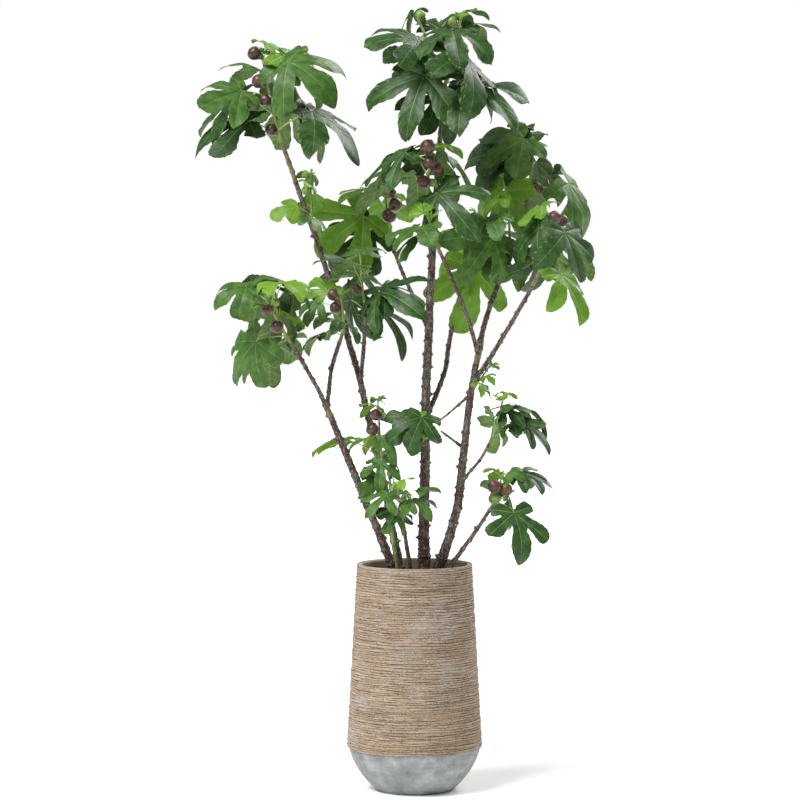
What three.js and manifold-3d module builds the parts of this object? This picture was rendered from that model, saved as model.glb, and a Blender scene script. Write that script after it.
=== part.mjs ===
// A fig tree with several stems in a tall round pot, as a three.js scene graph.
// Sizes are in millimetres and +Z is up. The origin is the middle of the pot's flat underside.
import * as THREE from 'three';
import { mergeVertices } from 'three/addons/utils/BufferGeometryUtils.js';
import Module from 'manifold-3d';

const wasm = await Module();
wasm.setup();

const gap = 0.3; // clear space between pieces that touch
const degree = Math.PI / 180;

// The pot: a cast bowl and wall, with a woven sleeve round the wall from the seam to the rim.
const pot = {
  height: 622,
  footRadius: 104,
  bellyRadius: 187,
  bellyHeight: 131,
  rimRadius: 160,
  sidePower: 1, // how evenly the side draws in from belly to rim
  bowlPower: 0.82,
  bowlArc: 72, // how many degrees of a quarter turn the bowl's side goes round
  seamHeight: 117,
  seamRadius: 181.3,
  sleeveThickness: 5,
  wallThickness: 12,
  floorThickness: 20,
  soilHeight: 575,
  facets: 32,
  bowlRings: 4,
  sideRings: 3,
};

// Limbs: a foot in the soil (or a share of the way along another limb), a tip, the radius at
// each end, and how far the middle bows and the two halves sway off the straight, in X and Y.
const limbs = {
  trunk_left: {
    foot: [-43, -5], tip: [-243, -90, 1065], radii: [12, 8.5], bow: [0, -12],
  },
  trunk_back_left: {
    foot: [-35, 50], tip: [-358, 120, 1752], radii: [11, 6], bow: [33, 22],
  },
  trunk_centre: {
    foot: [26, 12], tip: [75, 10, 1857], radii: [16, 6.5], bow: [-14, 12],
  },
  trunk_right: {
    foot: [50, -22], tip: [178, -30, 1217], radii: [14, 8], bow: [18, -14], sway: [11, 5],
  },
  stem_right_low: {
    foot: [62, -70], tip: [214, -90, 794], radii: [7, 5], bow: [4, -5],
  },
  stem_centre_low: {
    foot: [-6, -60], tip: [-30, -95, 737], radii: [6, 5],
  },
  stem_left_low: {
    foot: [-42, -45], tip: [-80, -60, 840], radii: [5, 4],
  },
  bough_left_outer: {
    on: 'trunk_left', at: 0.97, tip: [-332, -170, 1232], radii: [6.5, 5], bow: [6, -6],
  },
  bough_left_inner: {
    on: 'trunk_left', at: 0.97, tip: [-201, -20, 1241], radii: [6, 5], bow: [-8, 6],
  },
  bough_back_left: {
    on: 'trunk_back_left', at: 0.46, tip: [-136, 60, 1291], radii: [6, 5], bow: [4, -8],
  },
  bough_centre_left: {
    on: 'trunk_centre', at: 0.68, tip: [35, -90, 1616], radii: [6.5, 5.5], bow: [0, -8],
  },
  bough_centre_right: {
    on: 'trunk_centre', at: 0.35, tip: [165, 230, 1428], radii: [7, 5.5], bow: [0, 20],
    sway: [13, 0],
  },
  bough_centre_back: {
    on: 'trunk_centre', at: 0.54, tip: [-62, 250, 1495], radii: [6, 4.5], bow: [-6, 14],
  },
  bough_right_main: {
    on: 'trunk_right', at: 0.99, tip: [313, 110, 1626], radii: [7.5, 5], bow: [0, 10],
    sway: [-10, 0],
  },
  bough_right_outer: {
    on: 'trunk_right', at: 0.84, tip: [326, -190, 1409], radii: [6.5, 5], bow: [4, -10],
  },
  bough_right_inner: {
    on: 'trunk_right', at: 0.97, tip: [59, -190, 1492], radii: [6, 4.5], bow: [8, -14],
  },
  bough_right_side: {
    on: 'bough_right_main', at: 0.42, tip: [251, -40, 1450], radii: [5, 4.5],
  },
  twig_right_upper: {
    on: 'trunk_right', at: 0.8, tip: [80, -90, 1030], radii: [4, 3],
  },
  twig_right_lower: {
    on: 'trunk_right', at: 0.57, tip: [71, -70, 990], radii: [4, 3],
  },
  twig_right_outer: {
    on: 'trunk_right', at: 0.43, tip: [205, -130, 970], radii: [4.5, 3.5], bow: [8, 0],
  },
};

const limbMake = {
  trunkSides: 8,
  boughSides: 6,
  ringSpacing: 130,
  fewestRings: 3,
  flare: 0.3, // share of the foot's radius that the root flare adds
  flareHeight: 45,
  footCrowding: 1.5, // above 1, a trunk's rings stand closer together near its foot
};

// Shoots: each grows on from a limb's tip (or on a limb, at a share of its length) to its own
// tip, and carries the leaves of one mass of foliage. blade is the length of its largest leaf,
// reach the stalk's share of that, headings the way each leaf points (0 is +X, 90 is +Y),
// lowest leaf first, and space the box that the leaves keep to. A fig is its share of the way
// up the shoot, its heading and its radius.
const shoots = [
  {
    mass: 'foliage_top_left', limb: 'trunk_back_left', tip: [-420, 130, 2011],
    blade: 175, reach: 0.65, seed: 359, space: [[-615, -60, 1715], [-90, 320, 2085]],
    headings: [155, 190, 310, 70, 170, 40, 235, 140, 305, 330, 20],
    figs: [[0.2, 180, 19], [0.54, 220, 18], [0.72, 180, 21], [0.92, 300, 13], [0.98, 200, 20]],
  },
  {
    mass: 'foliage_left_spur', on: 'trunk_back_left', at: 0.82, tip: [-287, 95, 1682],
    blade: 70, reach: 0.5, seed: 48, space: [[-425, 5, 1520], [-240, 185, 1710]],
    headings: [260, 175, 110, 80, 240, 90],
    figs: [[0.7, 210, 13], [0.98, 180, 11]],
  },
  {
    mass: 'foliage_top_centre', limb: 'trunk_centre', tip: [124, -70, 2100],
    blade: 165, reach: 0.65, seed: 577, space: [[-160, -270, 1750], [380, 270, 2150]],
    headings: [290, 240, 280, 230, 15, 250, 110, 90, 60],
    figs: [[0.94, 180, 14]],
  },
  {
    mass: 'foliage_top_centre', limb: 'trunk_centre', tip: [7, 70, 2116],
    blade: 145, reach: 0.45, seed: 934, space: [[-160, -270, 1750], [380, 270, 2150]],
    headings: [250, 15, 190, 65, 140],
    figs: [[0.74, 180, 14], [0.98, 290, 14]],
  },
  {
    mass: 'foliage_centre', limb: 'bough_centre_left', tip: [44, -140, 1742],
    blade: 175, reach: 0.55, seed: 176, space: [[-160, -360, 1450], [195, 80, 1775]],
    headings: [315, 120, 30, 120, 60, 160, 110],
    figs: [[0.28, 240, 19], [0.32, 0, 12], [0.56, 0, 19], [0.7, 280, 18], [0.96, 250, 21]],
  },
  {
    mass: 'foliage_right_top', limb: 'bough_right_main', tip: [329, 140, 1769],
    blade: 160, reach: 0.55, seed: 11, space: [[90, -90, 1480], [515, 370, 1845]],
    headings: [0, 180, 100, 130, 55, 160, 190, 140],
    figs: [[0.06, 10, 19]],
  },
  {
    mass: 'foliage_right_outer', limb: 'bough_right_outer', tip: [375, -210, 1554],
    blade: 140, reach: 0.55, seed: 413, space: [[245, -410, 1295], [505, -10, 1620]],
    headings: [345, 105, 100, 300, 160, 80, 140],
    figs: [[0.52, 0, 18], [0.94, 20, 17], [0.98, 260, 18]],
  },
  {
    mass: 'foliage_left', limb: 'bough_left_outer', tip: [-396, -180, 1346],
    blade: 150, reach: 0.7, seed: 565, space: [[-615, -400, 1105], [-275, 40, 1430]],
    headings: [105, 145, 290, 90, 90, 80, 65, 330, 230],
    figs: [[0.28, 180, 18], [0.68, 180, 17], [0.88, 350, 12]],
  },
  {
    mass: 'foliage_middle', limb: 'bough_back_left', tip: [-146, 40, 1399],
    blade: 145, reach: 0.6, seed: 706, space: [[-310, -160, 1220], [60, 240, 1580]],
    headings: [340, 120, 285, 110, 325, 260, 110],
    figs: [[0.68, 180, 15]],
  },
  {
    mass: 'foliage_middle_left', limb: 'bough_left_inner', tip: [-200, -40, 1345],
    blade: 107, reach: 0.7, seed: 843, space: [[-320, -200, 1210], [-140, 120, 1470]],
    headings: [140, 290, 110, 150, 150],
    figs: [[0.7, 170, 17], [0.98, 170, 18]],
  },
  {
    mass: 'foliage_centre_back', limb: 'bough_centre_back', tip: [-81, 270, 1632],
    blade: 175, reach: 0.7, seed: 562, space: [[-305, 90, 1400], [0, 450, 1660]],
    headings: [200, 180, 100, 110, 200],
    figs: [[0.54, 280, 22], [0.76, 0, 21], [0.96, 70, 17], [0.98, 320, 16]],
  },
  {
    mass: 'foliage_right_inner', limb: 'bough_right_side', tip: [251, -60, 1600],
    blade: 135, reach: 0.55, seed: 746, space: [[70, -230, 1380], [290, 110, 1630]],
    headings: [200, 250, 120, 220, 220],
    figs: [],
  },
  {
    mass: 'foliage_centre_front', limb: 'bough_right_inner', tip: [39, -220, 1554],
    blade: 125, reach: 0.6, seed: 403, space: [[-80, -400, 1390], [175, -40, 1630]],
    headings: [230, 215, 120],
    figs: [],
  },
  {
    mass: 'foliage_right_back', limb: 'bough_centre_right', tip: [172, 260, 1581],
    blade: 175, reach: 0.5, seed: 525, space: [[30, 60, 1205], [275, 460, 1560]],
    headings: [290, 230, 100, 40],
    figs: [],
  },
  {
    mass: 'foliage_low_left', limb: 'stem_left_low', tip: [-100, -60, 1066],
    blade: 85, reach: 0.55, seed: 18, space: [[-300, -210, 800], [-30, 90, 1140]],
    headings: [240, 100, 250, 40, 120, 300, 100, 100, 260],
    figs: [[0.66, 200, 18], [0.82, 250, 17]],
  },
  {
    mass: 'foliage_low_front', limb: 'stem_centre_low', tip: [-45, -130, 828],
    blade: 87, reach: 0.75, seed: 957, space: [[-160, -280, 715], [140, 20, 915]],
    headings: [270, 270, 300, 100, 240, 320, 300],
    figs: [],
  },
  {
    mass: 'foliage_low_centre', limb: 'twig_right_upper', tip: [-35, -110, 1012],
    blade: 87, reach: 0.55, seed: 699, space: [[-110, -230, 885], [130, 10, 1070]],
    headings: [190, 190, 240, 90, 150, 340],
    figs: [],
  },
  {
    mass: 'foliage_low_right', limb: 'twig_right_outer', tip: [233, -160, 1068],
    blade: 95, reach: 0.8, seed: 837, space: [[140, -310, 915], [375, -10, 1115]],
    headings: [340, 80, 300, 290, 40, 270, 280],
    figs: [],
  },
  {
    mass: 'foliage_foot_right', limb: 'stem_right_low', tip: [233, -110, 864],
    blade: 88, reach: 0.75, seed: 93, space: [[110, -250, 625], [375, 30, 915]],
    headings: [335, 40, 100, 10, 320, 80, 340],
    figs: [[0.06, 290, 14], [0.36, 0, 19], [0.5, 240, 20]],
  },
  {
    mass: 'foliage_tuft', on: 'trunk_right', at: 0.81, tip: [200, -60, 1160],
    blade: 50, reach: 0.65, seed: 291, space: [[150, -130, 1080], [280, 10, 1180]],
    headings: [30, 270, 290, 110, 40],
    figs: [],
  },
  {
    mass: 'foliage_low_left', limb: 'stem_left_low', tip: [-112, -40, 930],
    blade: 155, reach: 0.8, seed: 993, space: [[-310, -210, 820], [-50, 90, 1020]],
    headings: [110, 160],
    figs: [],
  },
  {
    mass: 'foliage_foot_right', limb: 'stem_right_low', tip: [258, -100, 826],
    blade: 114, reach: 0.8, seed: 153, space: [[110, -260, 612], [385, 60, 860]],
    headings: [300],
    figs: [],
  },
];

// How every shoot puts out its leaves. A Spread is how far a value strays either way; Low and
// High are its values at the shoot's lowest and highest leaf. Angles are in degrees.
const growth = {
  lowest: 0.1,
  highest: 0.97,
  tries: 20, // draws for a leaf before it is skipped
  headingSpread: 26,
  youngSize: 0.62,
  sizeSpread: 0.2,
  stalkSpread: 0.22,
  liftLow: 18,
  liftHigh: 60,
  liftSpread: 26,
  stalkBend: 22,
  droopLow: 40,
  droopHigh: 0,
  droopSpread: 40,
  rollSpread: 36,
  curl: 0.26,
  curlSpread: 0.12,
  curve: 0.4, // how much of its length a shoot keeps its limb's direction
  light: [0.1, -0.5, 0.86], // the upper face turns this way
};

// The clear space, past a limb's own radius, that a leaf keeps from what isn't its own.
const room = {
  limb: 8, limbStalk: 4, otherLeaf: 11, otherStalk: 8, otherShoot: 10, own: 6, fig: 3,
};

// A leaf's lobes: angle from the midrib, then length and half width as shares of the blade.
const leafShape = {
  fiveLobes: [
    [-106, 0.54, 0.17], [-52, 0.86, 0.22], [0, 1, 0.24], [52, 0.86, 0.22], [106, 0.54, 0.17],
  ],
  threeLobes: [[-54, 0.74, 0.21], [0, 1, 0.25], [54, 0.74, 0.21]],
  largestSimple: 72, // a blade up to this length has three lobes
  largestPlain: 125, // a blade up to this length has plain lobes and a straight stalk
  angleSpread: 5,
  lobeSpread: 0.1,
  waistAt: 0.42,
  waist: 0.62,
  shoulderAt: 0.68,
  roundness: 2.2,
  innerSinus: 0.3,
  outerSinus: 0.25,
  notch: -0.05,
  rootThickness: 0.032,
  // Corners of a lobe's edge: share of its length, then offset as a share of its half width.
  roundCorners: [[0.66, -1], [0.94, -0.55], [0.94, 0.55], [0.66, 1]],
  plainCorners: [[0.64, -1], [1, 0], [0.64, 1]],
};

const twigMake = {
  stemRadii: [4.5, 3],
  stemSides: 4,
  stemRings: 3,
  stalkRadius: 0.014, // share of the blade's length
};

// A fig: radius and height of each ring, as shares of its radius, from the stalk to the eye.
const figMake = {
  rings: [[0, 0], [0.3, 0.55], [0.97, 1.4], [0.9, 2.05], [0, 2.5]],
  sides: 6,
  lift: 38,
  middle: 1.62, // radii from the shoot to the fig's middle
};

const finish = {
  sleeve: { color: 0xa8926f, roughness: 0.9, metalness: 0 },
  concrete: { color: 0xa9b0b4, roughness: 0.85, metalness: 0 },
  soil: { color: 0x3b3028, roughness: 0.95, metalness: 0 },
  bark: { color: 0x5d4c44, roughness: 0.8, metalness: 0 },
  greenStem: { color: 0x6f8440, roughness: 0.6, metalness: 0 },
  foliage: { color: 0x3a7a2b, roughness: 0.5, metalness: 0 },
};

// ---- solids and meshes

// A closed geometry as a solid with its faces turned outward.
function toSolid(geometry) {
  geometry.deleteAttribute('normal');
  geometry.deleteAttribute('uv');
  const merged = mergeVertices(geometry);
  const corners = merged.index.array;
  const faces = [];
  for (let i = 0; i < corners.length; i += 3) {
    const [a, b, c] = corners.slice(i, i + 3);
    if (a !== b && b !== c && c !== a) faces.push(a, b, c);
  }
  const vertProperties = new Float32Array(merged.attributes.position.array);
  const build = (list) => new wasm.Manifold(
    new wasm.Mesh({ numProp: 3, vertProperties, triVerts: new Uint32Array(list) }),
  );
  const solid = build(faces);
  return solid.volume() > 0 ? solid : build(faces.reverse());
}

// The largest body of a solid, without the scraps and slivers that cutting leaves.
function wholeBody(solid) {
  const bodies = solid.simplify(0.02).decompose();
  return bodies.reduce((best, body) => (body.volume() > best.volume() ? body : best));
}

function toMesh(name, solid, material) {
  const { vertProperties, triVerts } = solid.getMesh();
  const geometry = new THREE.BufferGeometry();
  geometry.setAttribute('position', new THREE.Float32BufferAttribute(vertProperties, 3));
  geometry.setIndex(new THREE.BufferAttribute(triVerts, 1));
  geometry.computeVertexNormals();
  const mesh = new THREE.Mesh(geometry, material);
  mesh.name = name;
  return mesh;
}

const materials = Object.fromEntries(
  Object.entries(finish).map(([name, values]) => [name, new THREE.MeshStandardMaterial(values)]),
);

const mix = (a, b, share) => a + (b - a) * share;

// ---- pot

function sideRadius(height) {
  const share = (pot.height - height) / (pot.height - pot.bellyHeight);
  const drawn = Math.max(share, 0) ** pot.sidePower;
  return Math.min(pot.rimRadius + (pot.bellyRadius - pot.rimRadius) * drawn, pot.bellyRadius);
}

function bowlRadius(height) {
  const arc = pot.bowlArc * degree;
  const share = Math.sin((height / pot.seamHeight) ** pot.bowlPower * arc) / Math.sin(arc);
  return mix(pot.footRadius, pot.seamRadius, share);
}

const coreRadius = (height) => sideRadius(height) - pot.sleeveThickness - gap;

function innerRadius(height) {
  const outer = height < pot.seamHeight ? bowlRadius(height) : coreRadius(height);
  return Math.min(outer, coreRadius(pot.seamHeight)) - pot.wallThickness;
}

function heightsBetween(low, high, count) {
  return Array.from({ length: count + 1 }, (_, i) => mix(low, high, i / count));
}

function turned(profile) {
  const points = profile.map(([radius, height]) => new THREE.Vector2(radius, height));
  return toSolid(new THREE.LatheGeometry(points, pot.facets).rotateX(Math.PI / 2));
}

const bowlHeights = heightsBetween(0, pot.seamHeight - gap, pot.bowlRings);
const sideHeights = heightsBetween(pot.seamHeight, pot.height, pot.sideRings);

function potBody() {
  const seam = pot.seamHeight - gap;
  const outside = bowlHeights.map((height) => [bowlRadius(height), height]);
  const core = sideHeights.map((height) => [coreRadius(height), height]);
  core[0] = [coreRadius(pot.seamHeight), seam];
  const inside = [...sideHeights].reverse().map((height) => [innerRadius(height), height]);
  const low = innerRadius(pot.floorThickness);
  return turned([
    [0, 0],
    ...outside,
    ...core,
    ...inside,
    [mix(low, innerRadius(pot.seamHeight), 0.7), pot.seamHeight / 2],
    [low, pot.floorThickness],
    [0, pot.floorThickness],
  ]);
}

function potSleeve() {
  const inner = sideHeights.map((height) => [coreRadius(height) + gap, height]);
  const outer = [...sideHeights].reverse().map((height) => [sideRadius(height), height]);
  return turned([...inner, ...outer, inner[0]]);
}

function soilPlug() {
  const low = innerRadius(pot.floorThickness);
  const heights = sideHeights.filter((height) => height < pot.soilHeight);
  return turned([
    [0, pot.floorThickness + gap],
    [low - gap, pot.floorThickness + gap],
    [mix(low, innerRadius(pot.seamHeight), 0.7) - gap, pot.seamHeight / 2],
    ...heights.map((height) => [innerRadius(height) - gap, height]),
    [innerRadius(pot.soilHeight) - gap, pot.soilHeight],
    [0, pot.soilHeight],
  ]);
}

// ---- limbs

class LimbRoute extends THREE.Curve {
  constructor(foot, limb) {
    super();
    this.foot = foot;
    this.tip = new THREE.Vector3(...limb.tip);
    this.bow = new THREE.Vector3(...(limb.bow ?? [0, 0]), 0);
    this.sway = new THREE.Vector3(...(limb.sway ?? [0, 0]), 0);
    this.crowding = limb.on ? 1 : limbMake.footCrowding;
  }

  getPoint(share, target = new THREE.Vector3()) {
    return target.lerpVectors(this.foot, this.tip, share)
      .addScaledVector(this.bow, Math.sin(Math.PI * share))
      .addScaledVector(this.sway, Math.sin(2 * Math.PI * share));
  }

  getUtoTmapping(share) {
    return share ** this.crowding;
  }
}

const routes = {};
for (const [name, limb] of Object.entries(limbs)) {
  const foot = limb.on
    ? routes[limb.on].getPoint(limb.at)
    : new THREE.Vector3(...limb.foot, pot.soilHeight + gap);
  routes[name] = new LimbRoute(foot, limb);
}

// A round bar along a route whose radius changes from ring to ring.
function taperedBar(route, rings, sides, radiusAt) {
  const section = new THREE.Shape(Array.from({ length: sides }, (_, i) => {
    const angle = i / sides * 2 * Math.PI;
    return new THREE.Vector2(Math.cos(angle), Math.sin(angle));
  }));
  const options = { steps: rings, extrudePath: route, bevelEnabled: false };
  const geometry = new THREE.ExtrudeGeometry(section, options);
  const centres = route.getSpacedPoints(rings);
  const corners = geometry.attributes.position;
  const corner = new THREE.Vector3();
  for (let i = 0; i < corners.count; i += 1) {
    corner.fromBufferAttribute(corners, i);
    const distances = centres.map((centre) => centre.distanceToSquared(corner));
    const ring = distances.indexOf(Math.min(...distances));
    corner.sub(centres[ring]).multiplyScalar(radiusAt(ring / rings, ring));
    corner.add(centres[ring]);
    corners.setXYZ(i, corner.x, corner.y, corner.z);
  }
  return { geometry, centres };
}

// One limb as a solid. With extra above 0 it is a grown copy, to cut its neighbours clear.
function limbSolid(name, extra = 0) {
  const limb = limbs[name];
  const route = routes[name];
  const [footRadius, tipRadius] = limb.radii;
  const length = route.foot.distanceTo(route.tip);
  const rings = Math.max(limbMake.fewestRings, Math.round(length / limbMake.ringSpacing));
  const sides = limb.on ? limbMake.boughSides : limbMake.trunkSides;
  const { geometry, centres } = taperedBar(route, rings, sides, (share) => {
    const along = share ** route.crowding;
    const flare = limb.on ? 0 : limbMake.flare * Math.exp(-along * length / limbMake.flareHeight);
    return mix(footRadius, tipRadius, along) + footRadius * flare + extra;
  });
  const corners = geometry.attributes.position;
  const corner = new THREE.Vector3();
  const reach = route.getTangent(1).multiplyScalar(extra);
  for (let i = 0; i < corners.count; i += 1) {
    corner.fromBufferAttribute(corners, i);
    const atFoot = corner.distanceTo(centres[0]) < corner.distanceTo(centres[1]) * 0.6;
    const atTip = corner.distanceTo(route.tip) < tipRadius + 2 * extra + gap;
    if (atFoot && !limb.on) corner.z = route.foot.z;
    if (atTip) corner.add(reach);
    corners.setXYZ(i, corner.x, corner.y, corner.z);
  }
  return toSolid(geometry);
}

const grown = Object.keys(limbs).map((name) => limbSolid(name, gap * 1.15));

// A limb that springs from another is cut clear of that limb and of those made before it.
function limbBody(name, order) {
  const solid = limbSolid(name);
  const earlier = grown.slice(0, order);
  return wholeBody(earlier.reduce((left, other) => left.subtract(other), solid));
}

// ---- leaves

// Random numbers from 0 to 1 that are the same for the same seed.
function dice(seed) {
  let state = (seed * 7919 + 104729) % 2147483647;
  const roll = () => {
    state = state * 16807 % 2147483647;
    return state / 2147483647;
  };
  roll();
  roll();
  return roll;
}

const stray = (roll, amount) => (2 * roll() - 1) * amount;

function compass(heading, rise) {
  return new THREE.Vector3(
    Math.cos(heading * degree) * Math.cos(rise * degree),
    Math.sin(heading * degree) * Math.cos(rise * degree),
    Math.sin(rise * degree),
  );
}

const light = new THREE.Vector3(...growth.light).normalize();

// The line that a shoot's stem follows: on from its limb, then over to its tip.
function shootCurve(shoot) {
  const tip = new THREE.Vector3(...shoot.tip);
  const start = shoot.limb ? routes[shoot.limb].getPoint(1) : routes[shoot.on].getPoint(shoot.at);
  const way = shoot.limb
    ? start.clone().sub(routes[shoot.limb].getPoint(0.9999)).normalize()
    : tip.clone().sub(start).normalize();
  const middle = start.clone().addScaledVector(way, start.distanceTo(tip) * growth.curve);
  return new THREE.QuadraticBezierCurve3(start, middle, tip);
}

// One draw of a leaf: its stalk from node by knee to joint, and its blade's size and frame.
function drawLeaf(shoot, curve, index, roll) {
  const rank = index / Math.max(shoot.headings.length - 1, 1);
  const heading = shoot.headings[index] + stray(roll, growth.headingSpread);
  const size = shoot.blade * mix(1, growth.youngSize, rank * rank)
    * (1 + stray(roll, growth.sizeSpread));
  const stalk = size * (shoot.reach + stray(roll, growth.stalkSpread));
  const lift = mix(growth.liftLow, growth.liftHigh, rank) + stray(roll, growth.liftSpread);
  const droop = mix(growth.droopLow, growth.droopHigh, rank) + stray(roll, growth.droopSpread);
  const rolled = stray(roll, growth.rollSpread) * degree;
  const curl = growth.curl + stray(roll, growth.curlSpread);
  const node = curve.getPoint(mix(growth.lowest, growth.highest, rank));
  const knee = node.clone().addScaledVector(compass(heading, lift), stalk / 2);
  const joint = knee.clone().addScaledVector(compass(heading, lift - growth.stalkBend), stalk / 2);
  const along = compass(heading, -droop);
  const facing = light.clone().addScaledVector(along, -light.dot(along)).normalize();
  const side = facing.clone().cross(along);
  const up = facing.multiplyScalar(Math.cos(rolled)).addScaledVector(side, Math.sin(rolled));
  const across = up.clone().cross(along);
  const pattern = size > leafShape.largestSimple ? leafShape.fiveLobes : leafShape.threeLobes;
  const lobes = pattern.map(([angle, length, width]) => ({
    angle: (angle + stray(roll, leafShape.angleSpread)) * degree,
    length: length * (1 + stray(roll, leafShape.lobeSpread)),
    width: width * (1 + stray(roll, leafShape.lobeSpread)),
  }));
  return { node, knee, joint, along, across, up, size, curl, lobes };
}

// A place on the curled blade, from its shares along and across, raised off it by thickness.
function bladePoint(leaf, x, y, raised = 0) {
  return leaf.joint.clone()
    .addScaledVector(leaf.along, leaf.size * x)
    .addScaledVector(leaf.across, leaf.size * y)
    .addScaledVector(leaf.up, leaf.size * (raised - leaf.curl * (x * x + y * y)));
}

// A place in a lobe, by its share of the lobe's length and its offset from the lobe's rib.
function lobePoint(leaf, lobe, share, offset, raised = 0) {
  const x = Math.cos(lobe.angle) * share * lobe.length - Math.sin(lobe.angle) * offset;
  const y = Math.sin(lobe.angle) * share * lobe.length + Math.cos(lobe.angle) * offset;
  return bladePoint(leaf, x, y, raised);
}

// The half width of a lobe at a share of its length, as a share of its greatest half width.
function lobeWidth(share) {
  if (share < leafShape.shoulderAt) {
    const opened = (share - leafShape.waistAt) / 0.24;
    return mix(leafShape.waist, 1, Math.min(Math.max(opened, 0), 1));
  }
  const rounded = (share - leafShape.shoulderAt) / (1 - leafShape.shoulderAt);
  return Math.sqrt(Math.max(0, 1 - rounded ** leafShape.roundness));
}

const probeShares = [0.28, 0.44, 0.6, 0.76, 0.92];
const probeOffsets = [-0.85, -0.3, 0.3, 0.85];

function bladeProbes(leaf) {
  const probes = [bladePoint(leaf, 0, 0)];
  for (const lobe of leaf.lobes) {
    for (const share of probeShares) {
      for (const offset of probeOffsets) {
        probes.push(lobePoint(leaf, lobe, share, offset * lobe.width * lobeWidth(share)));
      }
    }
  }
  return probes;
}

function stalkProbes(leaf) {
  return [
    leaf.knee.clone().lerp(leaf.node, 0.5), leaf.knee,
    leaf.knee.clone().lerp(leaf.joint, 0.5), leaf.joint,
  ];
}

// Whether every point keeps the space from every obstacle, past the obstacle's own radius.
function keepsClear(points, obstacles, space) {
  return obstacles.every(({ place, radius }) => points.every(
    (point) => point.distanceTo(place) - radius >= space,
  ));
}

const asObstacles = (points, radius = 0) => points.map((place) => ({ place, radius }));

const limbProbes = 92;
const limbObstacles = Object.keys(limbs).flatMap((name) => (
  Array.from({ length: limbProbes + 1 }, (_, i) => ({
    place: routes[name].getPoint(i / limbProbes),
    radius: mix(...limbs[name].radii, i / limbProbes),
  }))
));

const shootProbes = 23;
const curves = shoots.map(shootCurve);
const curvePoints = curves.map((curve) => curve.getPoints(shootProbes));
const figObstacles = shoots.flatMap(({ figs }, i) => figs.map(([share, heading, radius]) => ({
  place: curves[i].getPoint(share)
    .addScaledVector(compass(heading, figMake.lift), radius * figMake.middle),
  radius,
})));

// Leaves start clear of their own stem's foot, and of a fellow shoot's on the same limb.
const ownFoot = 2;
const fellowFoot = 4;

// Grows a shoot's leaves. A leaf that leaves the shoot's space, or comes near a limb, another
// shoot or another leaf, is drawn again, and skipped after the last try.
function growLeaves(order, before) {
  const shoot = shoots[order];
  const [low, high] = shoot.space.map((corner) => new THREE.Vector3(...corner));
  const box = new THREE.Box3(low, high);
  const otherShoots = shoots.flatMap((other, i) => {
    if (i === order) return [];
    const fellow = other.limb && other.limb === shoot.limb;
    return asObstacles(curvePoints[i].slice(fellow ? fellowFoot : 0));
  });
  const ownStem = asObstacles(curvePoints[order].slice(ownFoot));
  const others = before.filter((grove) => grove.mass !== shoot.mass)
    .flatMap(({ blades }) => blades.flatMap((blade) => blade.all));
  const own = before.filter((grove) => grove.mass === shoot.mass)
    .flatMap(({ blades }) => blades.flatMap((blade) => blade.free));
  const blades = [];
  shoot.headings.forEach((_, index) => {
    const roll = dice(shoot.seed * 50 + index);
    for (let turn = 0; turn < growth.tries; turn += 1) {
      const leaf = drawLeaf(shoot, curves[order], index, roll);
      const blade = bladeProbes(leaf);
      const stalk = stalkProbes(leaf);
      const fits = blade.every((point) => box.containsPoint(point))
        && keepsClear(blade, limbObstacles, room.limb)
        && keepsClear(stalk.slice(1), limbObstacles, room.limbStalk)
        && keepsClear(blade, figObstacles, room.fig)
        && keepsClear(blade, others, room.otherLeaf)
        && keepsClear(stalk, others, room.otherStalk)
        && keepsClear(blade, otherShoots, room.otherShoot)
        && keepsClear(blade.slice(1), ownStem, room.own)
        && keepsClear(blade.slice(1), own, room.own)
        && keepsClear(stalk.slice(1), own, room.own);
      if (fits) {
        const free = asObstacles([...blade.slice(1), ...stalk.slice(1, 3)]);
        own.push(...free);
        blades.push({ leaf, free, all: asObstacles([...blade, ...stalk]) });
        break;
      }
    }
  });
  return { mass: shoot.mass, order, blades };
}

// Three corners round a centre, in the plane square to the way given, the first one foremost.
function stalkRing(leaf, centre, way, radius) {
  const side = leaf.across.clone().addScaledVector(way, -leaf.across.dot(way)).normalize();
  const fore = side.clone().cross(way);
  return [0, 120, 240].map((angle) => centre.clone()
    .addScaledVector(fore, radius * Math.cos(angle * degree))
    .addScaledVector(side, radius * Math.sin(angle * degree)));
}

// The sharp edge of the blade, from the notch at its root round every lobe in turn.
function bladeEdge(leaf) {
  const middle = (leaf.lobes.length - 1) / 2;
  const edge = [bladePoint(leaf, leafShape.notch, 0)];
  leaf.lobes.forEach((lobe, i) => {
    const plain = Math.abs(i - middle) > 1 || leaf.size < leafShape.largestPlain;
    const corners = plain ? leafShape.plainCorners : leafShape.roundCorners;
    corners.forEach(([share, offset]) => {
      edge.push(lobePoint(leaf, lobe, share, offset * lobe.width));
    });
    const next = leaf.lobes[i + 1];
    if (next) {
      const inner = i === middle || i + 1 === middle;
      const depth = inner ? leafShape.innerSinus : leafShape.outerSinus;
      const angle = (lobe.angle + next.angle) / 2;
      edge.push(bladePoint(leaf, Math.cos(angle) * depth, Math.sin(angle) * depth));
    }
  });
  return edge;
}

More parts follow.
